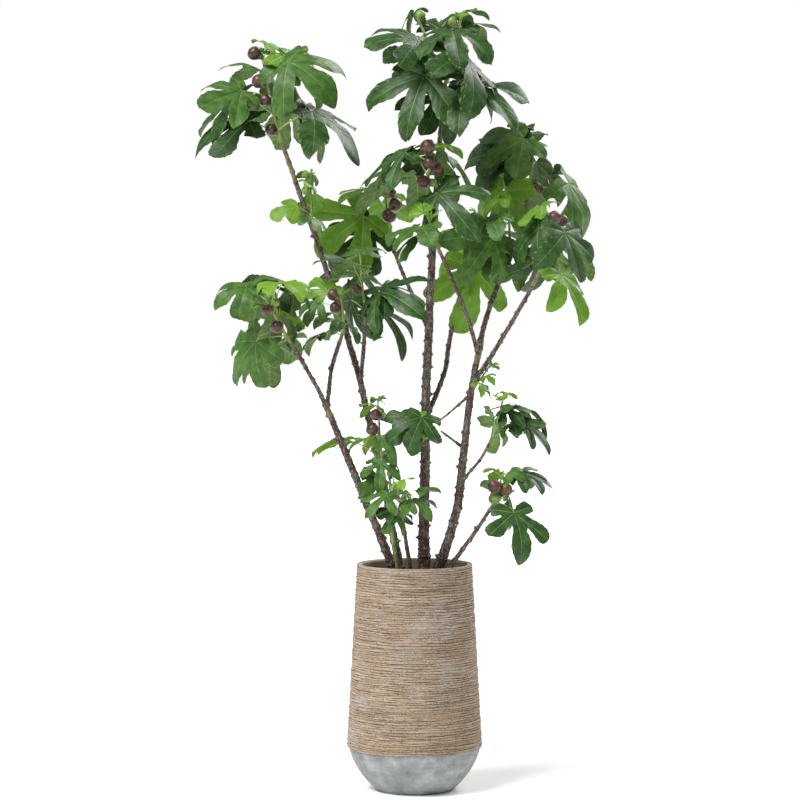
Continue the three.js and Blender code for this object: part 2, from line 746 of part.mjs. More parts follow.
// A leaf in one piece: a blade with an upper and a lower face that meet in a sharp edge, and a
// three-sided stalk from inside the stem to the lower face.
function leafSolid(leaf) {
  const corners = [];
  const faces = [];
  const add = (point) => corners.push(point.x, point.y, point.z) / 3 - 1;
  const radius = leaf.size * twigMake.stalkRadius;
  const half = leafShape.rootThickness / 2;
  const centres = leaf.size < leafShape.largestPlain
    ? [leaf.node, leaf.joint]
    : [leaf.node, leaf.knee, leaf.joint];
  const rings = centres.slice(0, -1).map((centre, i) => {
    const way = centres[i + 1].clone().sub(centre).normalize();
    return stalkRing(leaf, centre, way, radius).map(add);
  });
  const root = bladePoint(leaf, 0, 0, -half);
  rings.push(stalkRing(leaf, root, leaf.up, radius).map(add));
  faces.push(rings[0][2], rings[0][1], rings[0][0]);
  for (let i = 0; i + 1 < rings.length; i += 1) {
    for (let k = 0; k < 3; k += 1) {
      const next = (k + 1) % 3;
      faces.push(rings[i][k], rings[i][next], rings[i + 1][next]);
      faces.push(rings[i][k], rings[i + 1][next], rings[i + 1][k]);
    }
  }
  const outline = bladeEdge(leaf);
  const edge = outline.map(add);
  const top = add(bladePoint(leaf, 0, 0, half));
  const hub = rings.at(-1);
  const fromRoot = new THREE.Vector3();
  // The stalk's third corner serves the blade's right side, its first the front, its second
  // the left.
  const hubOf = outline.map((point, i) => {
    fromRoot.subVectors(point, leaf.joint);
    const angle = Math.atan2(fromRoot.dot(leaf.across), fromRoot.dot(leaf.along)) / degree;
    if (i === 0 || angle < -60) return 2;
    return angle < 60 ? 0 : 1;
  });
  edge.forEach((corner, i) => {
    const next = (i + 1) % edge.length;
    const last = next === 0;
    faces.push(top, corner, edge[next]);
    faces.push(edge[next], corner, hub[hubOf[i]]);
    const [from, to] = [hubOf[i], last ? 2 : hubOf[next]];
    if (from !== to) faces.push(hub[to], edge[next], hub[from]);
  });
  const geometry = new THREE.BufferGeometry();
  geometry.setAttribute('position', new THREE.Float32BufferAttribute(corners, 3));
  geometry.setIndex(faces);
  return toSolid(geometry);
}

function stemSolid(curve) {
  const radiusAt = (share) => mix(...twigMake.stemRadii, share);
  const { geometry } = taperedBar(curve, twigMake.stemRings, twigMake.stemSides, radiusAt);
  return toSolid(geometry);
}

function figSolid(curve, [share, heading, radius]) {
  const profile = figMake.rings.map(([r, h]) => new THREE.Vector2(r * radius, h * radius));
  const geometry = new THREE.LatheGeometry(profile, figMake.sides);
  const axis = compass(heading, figMake.lift);
  const turn = new THREE.Quaternion().setFromUnitVectors(new THREE.Vector3(0, 1, 0), axis);
  const foot = curve.getPoint(share);
  return toSolid(geometry.applyQuaternion(turn).translate(foot.x, foot.y, foot.z));
}

// One mass: the stems of its shoots with their leaves and figs, cut clear of the limbs.
function massSolid(groves) {
  const pieces = groves.flatMap(({ order, blades }) => [
    stemSolid(curves[order]),
    ...blades.map(({ leaf }) => leafSolid(leaf)),
    ...shoots[order].figs.map((fig) => figSolid(curves[order], fig)),
  ]);
  const joined = pieces.reduce((left, piece) => left.add(piece));
  return wholeBody(grown.reduce((left, limb) => left.subtract(limb), joined));
}

// ---- the tree in its pot

const tree = new THREE.Group();
tree.name = 'fig_tree_in_pot';
tree.add(toMesh('pot_body', potBody(), materials.concrete));
tree.add(toMesh('pot_sleeve', potSleeve(), materials.sleeve));
tree.add(toMesh('soil', soilPlug(), materials.soil));

Object.keys(limbs).forEach((name, order) => {
  const material = name === 'stem_left_low' ? materials.greenStem : materials.bark;
  tree.add(toMesh(name, limbBody(name, order), material));
});

const groves = [];
shoots.forEach((_, order) => groves.push(growLeaves(order, groves)));
for (const mass of new Set(shoots.map((shoot) => shoot.mass))) {
  const own = groves.filter((grove) => grove.mass === mass);
  tree.add(toMesh(mass, massSolid(own), materials.foliage));
}

export default tree;
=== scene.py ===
# A fig tree with several stems in a tall round pot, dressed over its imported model
import math

import bpy
import numpy as np
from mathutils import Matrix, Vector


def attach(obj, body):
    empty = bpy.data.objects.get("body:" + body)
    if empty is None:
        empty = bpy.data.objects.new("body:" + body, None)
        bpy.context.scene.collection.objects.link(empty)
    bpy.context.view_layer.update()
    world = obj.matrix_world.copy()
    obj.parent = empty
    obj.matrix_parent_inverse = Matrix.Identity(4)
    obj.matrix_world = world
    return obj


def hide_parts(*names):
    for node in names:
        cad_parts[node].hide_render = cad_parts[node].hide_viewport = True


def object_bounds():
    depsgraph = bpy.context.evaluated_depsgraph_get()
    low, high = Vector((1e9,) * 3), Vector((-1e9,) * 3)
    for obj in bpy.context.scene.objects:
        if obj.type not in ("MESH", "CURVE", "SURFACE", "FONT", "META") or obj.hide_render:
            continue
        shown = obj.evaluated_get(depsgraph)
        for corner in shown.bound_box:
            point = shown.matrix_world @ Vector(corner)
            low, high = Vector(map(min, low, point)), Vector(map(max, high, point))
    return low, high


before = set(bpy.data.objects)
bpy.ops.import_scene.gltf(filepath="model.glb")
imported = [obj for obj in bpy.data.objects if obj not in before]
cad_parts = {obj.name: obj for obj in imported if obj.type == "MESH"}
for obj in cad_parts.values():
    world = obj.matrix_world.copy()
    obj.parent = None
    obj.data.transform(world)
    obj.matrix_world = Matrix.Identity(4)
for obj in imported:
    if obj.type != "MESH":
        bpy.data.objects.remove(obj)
cadLow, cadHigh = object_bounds()
mm = 0.001
degree = math.pi / 180


# small helpers

def mix(a, b, share):
    return a + (b - a) * share


def ease(x):
    x = np.clip(x, 0.0, 1.0)
    return x * x * (3 - 2 * x)


def unit(v):
    return v / np.linalg.norm(v)


def circle(sides):  # angles round a full turn
    return np.arange(sides) / sides * 2 * math.pi


def neighbours(sides):  # the corners of a ring, and the one after each
    ring = np.arange(sides)
    return ring, (ring + 1) % sides


def gridFaces(rings, sides, closed=False):  # quads between rings of corners
    ring, after = neighbours(sides)
    rows = np.arange(rings if closed else rings - 1)[:, None]
    low, high = rows * sides, (rows + 1) % rings * sides
    return np.stack([low + ring, low + after, high + after, high + ring], -1).reshape(-1, 4)


def fan(middle, first, sides, facesUp):  # triangles from a middle corner out to a ring
    ring, after = neighbours(sides)
    ends = (first + ring, first + after) if facesUp else (first + after, first + ring)
    return np.stack([np.full(sides, middle), *ends], -1)


def shade(red, green, blue):  # screen colour, 0 to 255, as light
    return tuple(((c / 255 + 0.055) / 1.055) ** 2.4 for c in (red, green, blue)) + (1.0,)


def addPiece(name, corners, quads, tris, materials, slots=None, crease=60):
    quads = np.asarray(quads, dtype=np.int64).reshape(-1, 4)
    tris = np.asarray(tris, dtype=np.int64).reshape(-1, 3)
    mesh = bpy.data.meshes.new(name)
    mesh.vertices.add(len(corners))
    mesh.vertices.foreach_set("co", (np.asarray(corners) * mm).astype(np.float32).ravel())
    loops = np.concatenate([quads.ravel(), tris.ravel()]).astype(np.int32)
    starts = np.concatenate([np.arange(len(quads)) * 4, quads.size + np.arange(len(tris)) * 3])
    mesh.loops.add(len(loops))
    mesh.loops.foreach_set("vertex_index", loops)
    mesh.polygons.add(len(starts))
    mesh.polygons.foreach_set("loop_start", starts.astype(np.int32))
    for material in materials:
        mesh.materials.append(material)
    if slots is not None:
        mesh.polygons.foreach_set("material_index", np.asarray(slots, dtype=np.int32))
    mesh.update(calc_edges=True)
    mesh.validate()
    mesh.shade_smooth()
    mesh.set_sharp_from_angle(angle=crease * degree)
    piece = bpy.data.objects.new(name, mesh)
    bpy.context.collection.objects.link(piece)
    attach(piece, "root")
    print(name, "has", sum(len(p.vertices) - 2 for p in mesh.polygons), "triangles")
    return piece


# finishes: each is a principled shader with its own pattern, bump and tones

def plug(tree, source, socket):  # a link from another node, or a plain value
    if isinstance(source, bpy.types.NodeSocket):
        tree.links.new(source, socket)
    else:
        socket.default_value = source


def addNode(tree, kind, **values):
    node = tree.nodes.new(kind)
    for key, value in values.items():
        if hasattr(node, key):
            setattr(node, key, value)
        else:
            plug(tree, value, node.inputs[key])
    return node


def place(tree, stretch):  # coordinates in metres, stretched
    coords = tree.nodes.new("ShaderNodeTexCoord")
    node = addNode(tree, "ShaderNodeMapping", Scale=stretch, Vector=coords.outputs["Object"])
    return node.outputs["Vector"]


def noise(tree, scale, detail=3.0, stretch=(1, 1, 1), rough=0.5):
    node = addNode(tree, "ShaderNodeTexNoise", Scale=scale, Detail=detail, Roughness=rough,
                   Vector=place(tree, stretch))
    return node.outputs["Fac"]


def cells(tree, scale, stretch=(1, 1, 1)):  # 0 at scattered points, growing away from them
    node = addNode(tree, "ShaderNodeTexVoronoi", Scale=scale, Vector=place(tree, stretch))
    return node.outputs["Distance"]


def ramp(tree, source, stops):
    node = addNode(tree, "ShaderNodeValToRGB", Fac=source)
    marks = node.color_ramp.elements
    while len(marks) < len(stops):
        marks.new(0.5)
    for mark, (at, colour) in zip(marks, stops):
        mark.position = at
        mark.color = colour
    return node.outputs["Color"]


def mask(tree, source, *stops):  # how strongly a blend shows, at levels of a pattern
    return ramp(tree, source, [(at, (level, level, level, 1)) for at, level in stops])


def blend(tree, share, low, high):
    node = addNode(tree, "ShaderNodeMix", data_type="RGBA")
    for source, socket in ((share, 0), (low, 6), (high, 7)):
        plug(tree, source, node.inputs[socket])
    return node.outputs[2]


def mixShaders(tree, share, first, second):
    node = addNode(tree, "ShaderNodeMixShader", Fac=share)
    for shader, socket in ((first, 1), (second, 2)):
        tree.links.new(shader.outputs[0], node.inputs[socket])
    return node.outputs[0]


def spread(tree, source, low, high):  # a pattern mapped to a range of roughness
    span = {"From Min": 0.3, "From Max": 0.7, "To Min": low, "To Max": high}
    return addNode(tree, "ShaderNodeMapRange", Value=source, **span).outputs["Result"]


def newFinish(name):
    material = bpy.data.materials.new(name)
    material.use_nodes = True
    return material, material.node_tree, material.node_tree.nodes["Principled BSDF"]


def dress(tree, surface, colour, rough, bumps=()):  # a bump is a pattern, strength and depth
    plug(tree, colour, surface.inputs["Base Color"])
    plug(tree, rough, surface.inputs["Roughness"])
    normal = None
    for source, strength, depth in bumps:
        node = addNode(tree, "ShaderNodeBump", Strength=strength, Distance=depth, Height=source)
        if normal:
            tree.links.new(normal, node.inputs["Normal"])
        normal = node.outputs["Normal"]
    if normal:
        tree.links.new(normal, surface.inputs["Normal"])


# growth: limbs, shoots and leaves by the model's rule, in millimetres

limbs = {
    "trunk_left": dict(foot=(-43, -5), tip=(-243, -90, 1065), radii=(12, 8.5), bow=(0, -12)),
    "trunk_back_left": dict(foot=(-35, 50), tip=(-358, 120, 1752), radii=(11, 6), bow=(33, 22)),
    "trunk_centre": dict(foot=(26, 12), tip=(75, 10, 1857), radii=(16, 6.5), bow=(-14, 12)),
    "trunk_right": dict(foot=(50, -22), tip=(178, -30, 1217), radii=(14, 8), bow=(18, -14),
                        sway=(11, 5)),
    "stem_right_low": dict(foot=(62, -70), tip=(214, -90, 794), radii=(7, 5), bow=(4, -5)),
    "stem_centre_low": dict(foot=(-6, -60), tip=(-30, -95, 737), radii=(6, 5)),
    "stem_left_low": dict(foot=(-42, -45), tip=(-80, -60, 840), radii=(5, 4)),
    "bough_left_outer": dict(on="trunk_left", at=0.97, tip=(-332, -170, 1232), radii=(6.5, 5),
                             bow=(6, -6)),
    "bough_left_inner": dict(on="trunk_left", at=0.97, tip=(-201, -20, 1241), radii=(6, 5),
                             bow=(-8, 6)),
    "bough_back_left": dict(on="trunk_back_left", at=0.46, tip=(-136, 60, 1291), radii=(6, 5),
                            bow=(4, -8)),
    "bough_centre_left": dict(on="trunk_centre", at=0.68, tip=(35, -90, 1616), radii=(6.5, 5.5),
                              bow=(0, -8)),
    "bough_centre_right": dict(on="trunk_centre", at=0.35, tip=(165, 230, 1428), radii=(7, 5.5),
                               bow=(0, 20), sway=(13, 0)),
    "bough_centre_back": dict(on="trunk_centre", at=0.54, tip=(-62, 250, 1495), radii=(6, 4.5),
                              bow=(-6, 14)),
    "bough_right_main": dict(on="trunk_right", at=0.99, tip=(313, 110, 1626), radii=(7.5, 5),
                             bow=(0, 10), sway=(-10, 0)),
    "bough_right_outer": dict(on="trunk_right", at=0.84, tip=(326, -190, 1409), radii=(6.5, 5),
                              bow=(4, -10)),
    "bough_right_inner": dict(on="trunk_right", at=0.97, tip=(59, -190, 1492), radii=(6, 4.5),
                              bow=(8, -14)),
    "bough_right_side": dict(on="bough_right_main", at=0.42, tip=(251, -40, 1450),
                             radii=(5, 4.5)),
    "twig_right_upper": dict(on="trunk_right", at=0.8, tip=(80, -90, 1030), radii=(4, 3)),
    "twig_right_lower": dict(on="trunk_right", at=0.57, tip=(71, -70, 990), radii=(4, 3)),
    "twig_right_outer": dict(on="trunk_right", at=0.43, tip=(205, -130, 970), radii=(4.5, 3.5),
                             bow=(8, 0)),
}

# blade is a shoot's largest leaf, reach its stalk's share of that, headings the way each leaf
# points, space the box that they keep to, lit how many of its leaves, in ten, get the pale
# green tones, which are painted light for leaves lit through from behind; a fig is its share up
# the shoot, its heading and its radius
shoots = [
    dict(mass="foliage_top_left", limb="trunk_back_left", tip=(-420, 130, 2011), blade=175,
         reach=0.65, seed=359, space=((-615, -60, 1715), (-90, 320, 2085)), lit=0,
         headings=(155, 190, 310, 70, 170, 40, 235, 140, 305, 330, 20),
         figs=((0.2, 180, 19), (0.54, 220, 18), (0.72, 180, 21), (0.92, 300, 13),
               (0.98, 200, 20))),
    dict(mass="foliage_left_spur", on="trunk_back_left", at=0.82, tip=(-287, 95, 1682),
         blade=70, reach=0.5, seed=48, space=((-425, 5, 1520), (-240, 185, 1710)), lit=7,
         headings=(260, 175, 110, 80, 240, 90),
         figs=((0.7, 210, 13), (0.98, 180, 11))),
    dict(mass="foliage_top_centre", limb="trunk_centre", tip=(124, -70, 2100), blade=165,
         reach=0.65, seed=577, space=((-160, -270, 1750), (380, 270, 2150)), lit=0,
         headings=(290, 240, 280, 230, 15, 250, 110, 90, 60),
         figs=((0.94, 180, 14),)),
    dict(mass="foliage_top_centre", limb="trunk_centre", tip=(7, 70, 2116), blade=145,
         reach=0.45, seed=934, space=((-160, -270, 1750), (380, 270, 2150)), lit=0,
         headings=(250, 15, 190, 65, 140),
         figs=((0.74, 180, 14), (0.98, 290, 14))),
    dict(mass="foliage_centre", limb="bough_centre_left", tip=(44, -140, 1742), blade=175,
         reach=0.55, seed=176, space=((-160, -360, 1450), (195, 80, 1775)), lit=0,
         headings=(315, 120, 30, 120, 60, 160, 110),
         figs=((0.28, 240, 19), (0.32, 0, 12), (0.56, 0, 19), (0.7, 280, 18), (0.96, 250, 21))),
    dict(mass="foliage_right_top", limb="bough_right_main", tip=(329, 140, 1769), blade=160,
         reach=0.55, seed=11, space=((90, -90, 1480), (515, 370, 1845)), lit=1,
         headings=(0, 180, 100, 130, 55, 160, 190, 140),
         figs=((0.06, 10, 19),)),
    dict(mass="foliage_right_outer", limb="bough_right_outer", tip=(375, -210, 1554), blade=140,
         reach=0.55, seed=413, space=((245, -410, 1295), (505, -10, 1620)), lit=1,
         headings=(345, 105, 100, 300, 160, 80, 140),
         figs=((0.52, 0, 18), (0.94, 20, 17), (0.98, 260, 18))),
    dict(mass="foliage_left", limb="bough_left_outer", tip=(-396, -180, 1346), blade=150,
         reach=0.7, seed=565, space=((-615, -400, 1105), (-275, 40, 1430)), lit=3,
         headings=(105, 145, 290, 90, 90, 80, 65, 330, 230),
         figs=((0.28, 180, 18), (0.68, 180, 17), (0.88, 350, 12))),
    dict(mass="foliage_middle", limb="bough_back_left", tip=(-146, 40, 1399), blade=145,
         reach=0.6, seed=706, space=((-310, -160, 1220), (60, 240, 1580)), lit=0,
         headings=(340, 120, 285, 110, 325, 260, 110),
         figs=((0.68, 180, 15),)),
    dict(mass="foliage_middle_left", limb="bough_left_inner", tip=(-200, -40, 1345), blade=107,
         reach=0.7, seed=843, space=((-320, -200, 1210), (-140, 120, 1470)), lit=0,
         headings=(140, 290, 110, 150, 150),
         figs=((0.7, 170, 17), (0.98, 170, 18))),
    dict(mass="foliage_centre_back", limb="bough_centre_back", tip=(-81, 270, 1632), blade=175,
         reach=0.7, seed=562, space=((-305, 90, 1400), (0, 450, 1660)), lit=9,
         headings=(200, 180, 100, 110, 200),
         figs=((0.54, 280, 22), (0.76, 0, 21), (0.96, 70, 17), (0.98, 320, 16))),
    dict(mass="foliage_right_inner", limb="bough_right_side", tip=(251, -60, 1600), blade=135,
         reach=0.55, seed=746, space=((70, -230, 1380), (290, 110, 1630)), lit=0,
         headings=(200, 250, 120, 220, 220)),
    dict(mass="foliage_centre_front", limb="bough_right_inner", tip=(39, -220, 1554), blade=125,
         reach=0.6, seed=403, space=((-80, -400, 1390), (175, -40, 1630)), lit=0,
         headings=(230, 215, 120)),
    dict(mass="foliage_right_back", limb="bough_centre_right", tip=(172, 260, 1581), blade=175,
         reach=0.5, seed=525, space=((30, 60, 1205), (275, 460, 1560)), lit=9,
         headings=(290, 230, 100, 40)),
    dict(mass="foliage_low_left", limb="stem_left_low", tip=(-100, -60, 1066), blade=85,
         reach=0.55, seed=18, space=((-300, -210, 800), (-30, 90, 1140)), lit=3,
         headings=(240, 100, 250, 40, 120, 300, 100, 100, 260),
         figs=((0.66, 200, 18), (0.82, 250, 17))),
    dict(mass="foliage_low_front", limb="stem_centre_low", tip=(-45, -130, 828), blade=87,
         reach=0.75, seed=957, space=((-160, -280, 715), (140, 20, 915)), lit=1,
         headings=(270, 270, 300, 100, 240, 320, 300)),
    dict(mass="foliage_low_centre", limb="twig_right_upper", tip=(-35, -110, 1012), blade=87,
         reach=0.55, seed=699, space=((-110, -230, 885), (130, 10, 1070)), lit=3,
         headings=(190, 190, 240, 90, 150, 340)),
    dict(mass="foliage_low_right", limb="twig_right_outer", tip=(233, -160, 1068), blade=95,
         reach=0.8, seed=837, space=((140, -310, 915), (375, -10, 1115)), lit=0,
         headings=(340, 80, 300, 290, 40, 270, 280)),
    dict(mass="foliage_foot_right", limb="stem_right_low", tip=(233, -110, 864), blade=88,
         reach=0.75, seed=93, space=((110, -250, 625), (375, 30, 915)), lit=1,
         headings=(335, 40, 100, 10, 320, 80, 340),
         figs=((0.06, 290, 14), (0.36, 0, 19), (0.5, 240, 20))),
    dict(mass="foliage_tuft", on="trunk_right", at=0.81, tip=(200, -60, 1160), blade=50,
         reach=0.65, seed=291, space=((150, -130, 1080), (280, 10, 1180)), lit=5,
         headings=(30, 270, 290, 110, 40)),
    dict(mass="foliage_low_left", limb="stem_left_low", tip=(-112, -40, 930), blade=155,
         reach=0.8, seed=993, space=((-310, -210, 820), (-50, 90, 1020)), lit=9,
         headings=(110, 160)),
    dict(mass="foliage_foot_right", limb="stem_right_low", tip=(258, -100, 826), blade=114,
         reach=0.8, seed=153, space=((110, -260, 612), (385, 60, 860)), lit=0,
         headings=(300,)),
]

growth = dict(
    lowest=0.1, highest=0.97, tries=20, headingSpread=26, youngSize=0.62, sizeSpread=0.2,
    stalkSpread=0.22, liftLow=18, liftHigh=60, liftSpread=26, stalkBend=22, droopLow=40,
    droopHigh=0, droopSpread=40, rollSpread=36, curl=0.26, curlSpread=0.12, curve=0.4,
    light=(0.1, -0.5, 0.86), soilHeight=575.3, flare=0.3, flareHeight=45,
    figLift=38, figMiddle=1.62,  # a fig's rise, and how many radii out its middle is
)
# the least gap in millimetres from a leaf's blade or stalk to what is near it
room = dict(limb=8, limbStalk=4, otherLeaf=11, otherStalk=8, otherShoot=10, own=6, fig=3)
# where room is measured: steps along a limb and a shoot, how many of a shoot's first steps
# don't count for a fellow on the same limb and for its own leaves, and places on a lobe
probes = dict(limb=92, shoot=23, fellowFoot=4, ownFoot=2, along=(0.28, 0.44, 0.6, 0.76, 0.92),
              across=(-0.85, -0.3, 0.3, 0.85))

leafShape = dict(
    fiveLobes=((-106, 0.54, 0.17), (-52, 0.86, 0.22), (0, 1, 0.24), (52, 0.86, 0.22),
               (106, 0.54, 0.17)),
    threeLobes=((-54, 0.74, 0.21), (0, 1, 0.25), (54, 0.74, 0.21)),
    largestSimple=72, angleSpread=5, lobeSpread=0.1, waistAt=0.42, waist=0.62,
    waistLength=0.24, shoulderAt=0.68, roundness=2.2,
)


def dice(seed):  # the same numbers from 0 to 1 for the same seed
    state = (seed * 7919 + 104729) % 2147483647

    def roll():
        nonlocal state
        state = state * 16807 % 2147483647
        return state / 2147483647
    roll()
    roll()
    return roll


def stray(roll, amount):
    return (2 * roll() - 1) * amount


def compass(heading, rise):
    flat = math.cos(rise * degree)
    return np.array([math.cos(heading * degree) * flat, math.sin(heading * degree) * flat,
                     math.sin(rise * degree)])


def limbPoint(name, share):
    limb = limbs[name]
    if "start" not in limb:
        limb["start"] = (limbPoint(limb["on"], limb["at"]) if "on" in limb
                         else np.array([*limb["foot"], growth["soilHeight"]]))
    bow, sway = limb.get("bow", (0, 0)), limb.get("sway", (0, 0))
    tip = np.array(limb["tip"], dtype=float)
    return (mix(limb["start"], tip, share)
            + np.array([*bow, 0]) * math.sin(math.pi * share)
            + np.array([*sway, 0]) * math.sin(2 * math.pi * share))


def shootCurve(shoot):  # start, middle and tip of a curve that leaves its limb straight on
    tip = np.array(shoot["tip"], dtype=float)
    if "limb" in shoot:
        start = limbPoint(shoot["limb"], 1)
        way = unit(start - limbPoint(shoot["limb"], 0.9999))
    else:
        start = limbPoint(shoot["on"], shoot["at"])
        way = unit(tip - start)
    return start, start + way * np.linalg.norm(tip - start) * growth["curve"], tip


def curvePoint(curve, share):
    a, b, c = curve
    return a * (1 - share) ** 2 + b * 2 * share * (1 - share) + c * share ** 2


growthLight = unit(np.array(growth["light"]))


def drawLeaf(shoot, curve, index, roll):
    g = growth
    rank = index / max(len(shoot["headings"]) - 1, 1)
    heading = shoot["headings"][index] + stray(roll, g["headingSpread"])
    size = (shoot["blade"] * mix(1, g["youngSize"], rank * rank)
            * (1 + stray(roll, g["sizeSpread"])))
    stalk = size * (shoot["reach"] + stray(roll, g["stalkSpread"]))
    lift = mix(g["liftLow"], g["liftHigh"], rank) + stray(roll, g["liftSpread"])
    droop = mix(g["droopLow"], g["droopHigh"], rank) + stray(roll, g["droopSpread"])
    rolled = stray(roll, g["rollSpread"]) * degree
    curl = g["curl"] + stray(roll, g["curlSpread"])
    node = curvePoint(curve, mix(g["lowest"], g["highest"], rank))
    knee = node + compass(heading, lift) * stalk / 2
    joint = knee + compass(heading, lift - g["stalkBend"]) * stalk / 2
    along = compass(heading, -droop)
    facing = unit(growthLight - along * growthLight.dot(along))
    up = facing * math.cos(rolled) + np.cross(facing, along) * math.sin(rolled)
    five = size > leafShape["largestSimple"]
    lobes = [((angle + stray(roll, leafShape["angleSpread"])) * degree,
              length * (1 + stray(roll, leafShape["lobeSpread"])),
              width * (1 + stray(roll, leafShape["lobeSpread"])))
             for angle, length, width in leafShape["fiveLobes" if five else "threeLobes"]]
    return dict(node=node, knee=knee, joint=joint, along=along, across=np.cross(up, along),
                up=up, size=size, curl=curl, lobes=lobes, rank=rank)


def bladePlace(leaf, flat):  # places on the curled blade from shares along and across
    x, y = flat[:, :1], flat[:, 1:]
    return leaf["joint"] + leaf["size"] * (
        x * leaf["along"] + y * leaf["across"] - leaf["curl"] * (x * x + y * y) * leaf["up"])


def lobeWidth(share):
    s = leafShape
    if share < s["shoulderAt"]:
        return mix(s["waist"], 1, min(max((share - s["waistAt"]) / s["waistLength"], 0), 1))
    rounded = (share - s["shoulderAt"]) / (1 - s["shoulderAt"])
    return math.sqrt(max(0, 1 - rounded ** s["roundness"]))


def bladeProbes(leaf):
    flat = [(0, 0)]
    for angle, length, width in leaf["lobes"]:
        for share in probes["along"]:
            for offset in probes["across"]:
                side = offset * width * lobeWidth(share)
                flat.append((math.cos(angle) * share * length - math.sin(angle) * side,
                             math.sin(angle) * share * length + math.cos(angle) * side))
    return bladePlace(leaf, np.array(flat))


def stalkProbes(leaf):
    node, knee, joint = leaf["node"], leaf["knee"], leaf["joint"]
    return np.array([mix(knee, node, 0.5), knee, mix(knee, joint, 0.5), joint])


def keepsClear(points, places, space, radii=0.0):
    if not len(places):
        return True
    middle = points.mean(0)
    reach = np.linalg.norm(points - middle, axis=1).max() + space
    near = np.linalg.norm(places - middle, axis=1) - radii < reach
    if not near.any():
        return True
    gaps = np.linalg.norm(points[:, None] - places[None, near], axis=2)
    return (gaps - (radii[near] if np.ndim(radii) else radii)).min() >= space


def steps(count):  # even shares from 0 to 1
    return [i / count for i in range(count + 1)]


limbPlaces = np.array([limbPoint(name, at) for name in limbs for at in steps(probes["limb"])])
limbRadii = np.array([mix(*limb["radii"], at) for limb in limbs.values()
                      for at in steps(probes["limb"])])
curves = [shootCurve(shoot) for shoot in shoots]
curvePlaces = [np.array([curvePoint(curve, at) for at in steps(probes["shoot"])])
               for curve in curves]
allFigs = [(curve, fig) for shoot, curve in zip(shoots, curves)
           for fig in shoot.get("figs", ())]
figPlaces = np.array([curvePoint(curve, share)
                      + compass(heading, growth["figLift"]) * radius * growth["figMiddle"]
                      for curve, (share, heading, radius) in allFigs])
figRadii = np.array([radius for _, (_, _, radius) in allFigs])


def growLeaves(order, before):
    shoot = shoots[order]
    low, high = (np.array(corner) for corner in shoot["space"])
    otherShoots = []
    for i, other in enumerate(shoots):
        if i != order:
            fellow = "limb" in other and other["limb"] == shoot.get("limb")
            otherShoots.append(curvePlaces[i][probes["fellowFoot"] if fellow else 0:])
    otherShoots = np.concatenate(otherShoots)
    ownStem = curvePlaces[order][probes["ownFoot"]:]
    others = [p for grove in before if grove["mass"] != shoot["mass"] for p in grove["all"]]
    others = np.concatenate(others) if others else np.zeros((0, 3))
    own = [p for grove in before if grove["mass"] == shoot["mass"] for p in grove["free"]]
    grove = dict(mass=shoot["mass"], leaves=[], free=[], all=[])
    for index in range(len(shoot["headings"])):
        roll = dice(shoot["seed"] * 50 + index)
        for _ in range(growth["tries"]):
            leaf = drawLeaf(shoot, curves[order], index, roll)
            blade, stalk = bladeProbes(leaf), stalkProbes(leaf)
            beside = np.concatenate(own) if own else np.zeros((0, 3))
            gaps = ((blade, limbPlaces, "limb", limbRadii),
                    (stalk[1:], limbPlaces, "limbStalk", limbRadii),
                    (blade, figPlaces, "fig", figRadii),
                    (blade, others, "otherLeaf"), (stalk, others, "otherStalk"),
                    (blade, otherShoots, "otherShoot"), (blade[1:], ownStem, "own"),
                    (blade[1:], beside, "own"), (stalk[1:], beside, "own"))
            if ((blade >= low).all() and (blade <= high).all()
                    and all(keepsClear(points, places, room[kind], *radii)
                            for points, places, kind, *radii in gaps)):
                free = np.concatenate([blade[1:], stalk[1:3]])
                own.append(free)
                grove["leaves"].append(leaf)
                grove["free"].append(free)
                grove["all"].append(np.concatenate([blade, stalk]))
                break
    return grove


groves = []
for order in range(len(shoots)):
    groves.append(growLeaves(order, groves))
print("grown:", sum(len(grove["leaves"]) for grove in groves), "leaves")


# round bars: bark, stems, leaf stalks

def barFrames(centres, straight=None):  # a way across each ring that doesn't spin
    if straight is None:
        ways = np.gradient(centres, axis=0)
        ways /= np.linalg.norm(ways, axis=1)[:, None]
    else:
        ways = np.repeat(straight[None], len(centres), axis=0)
    side = unit(np.cross(ways[0], (0.3, 1, 0.1)))
    sides = []
    for way in ways:
        side = unit(side - way * side.dot(way))
        sides.append(side)
    sides = np.array(sides)
    return sides, np.cross(ways, sides)


def barRings(centres, radii, straight=None):  # radii has a row a ring and a column a side
    sides, others = barFrames(centres, straight)
    turn = circle(radii.shape[1])
    spokes = (sides[:, None] * np.cos(turn)[None, :, None]
              + others[:, None] * np.sin(turn)[None, :, None])
    return centres[:, None] + spokes * radii[:, :, None]


def barFaces(rings, sides):  # closed at both ends by a fan round a middle corner
    foot, last = rings * sides, (rings - 1) * sides
    tris = np.concatenate([fan(foot, 0, sides, False), fan(foot + 1, last, sides, True)])
    return gridFaces(rings, sides), tris


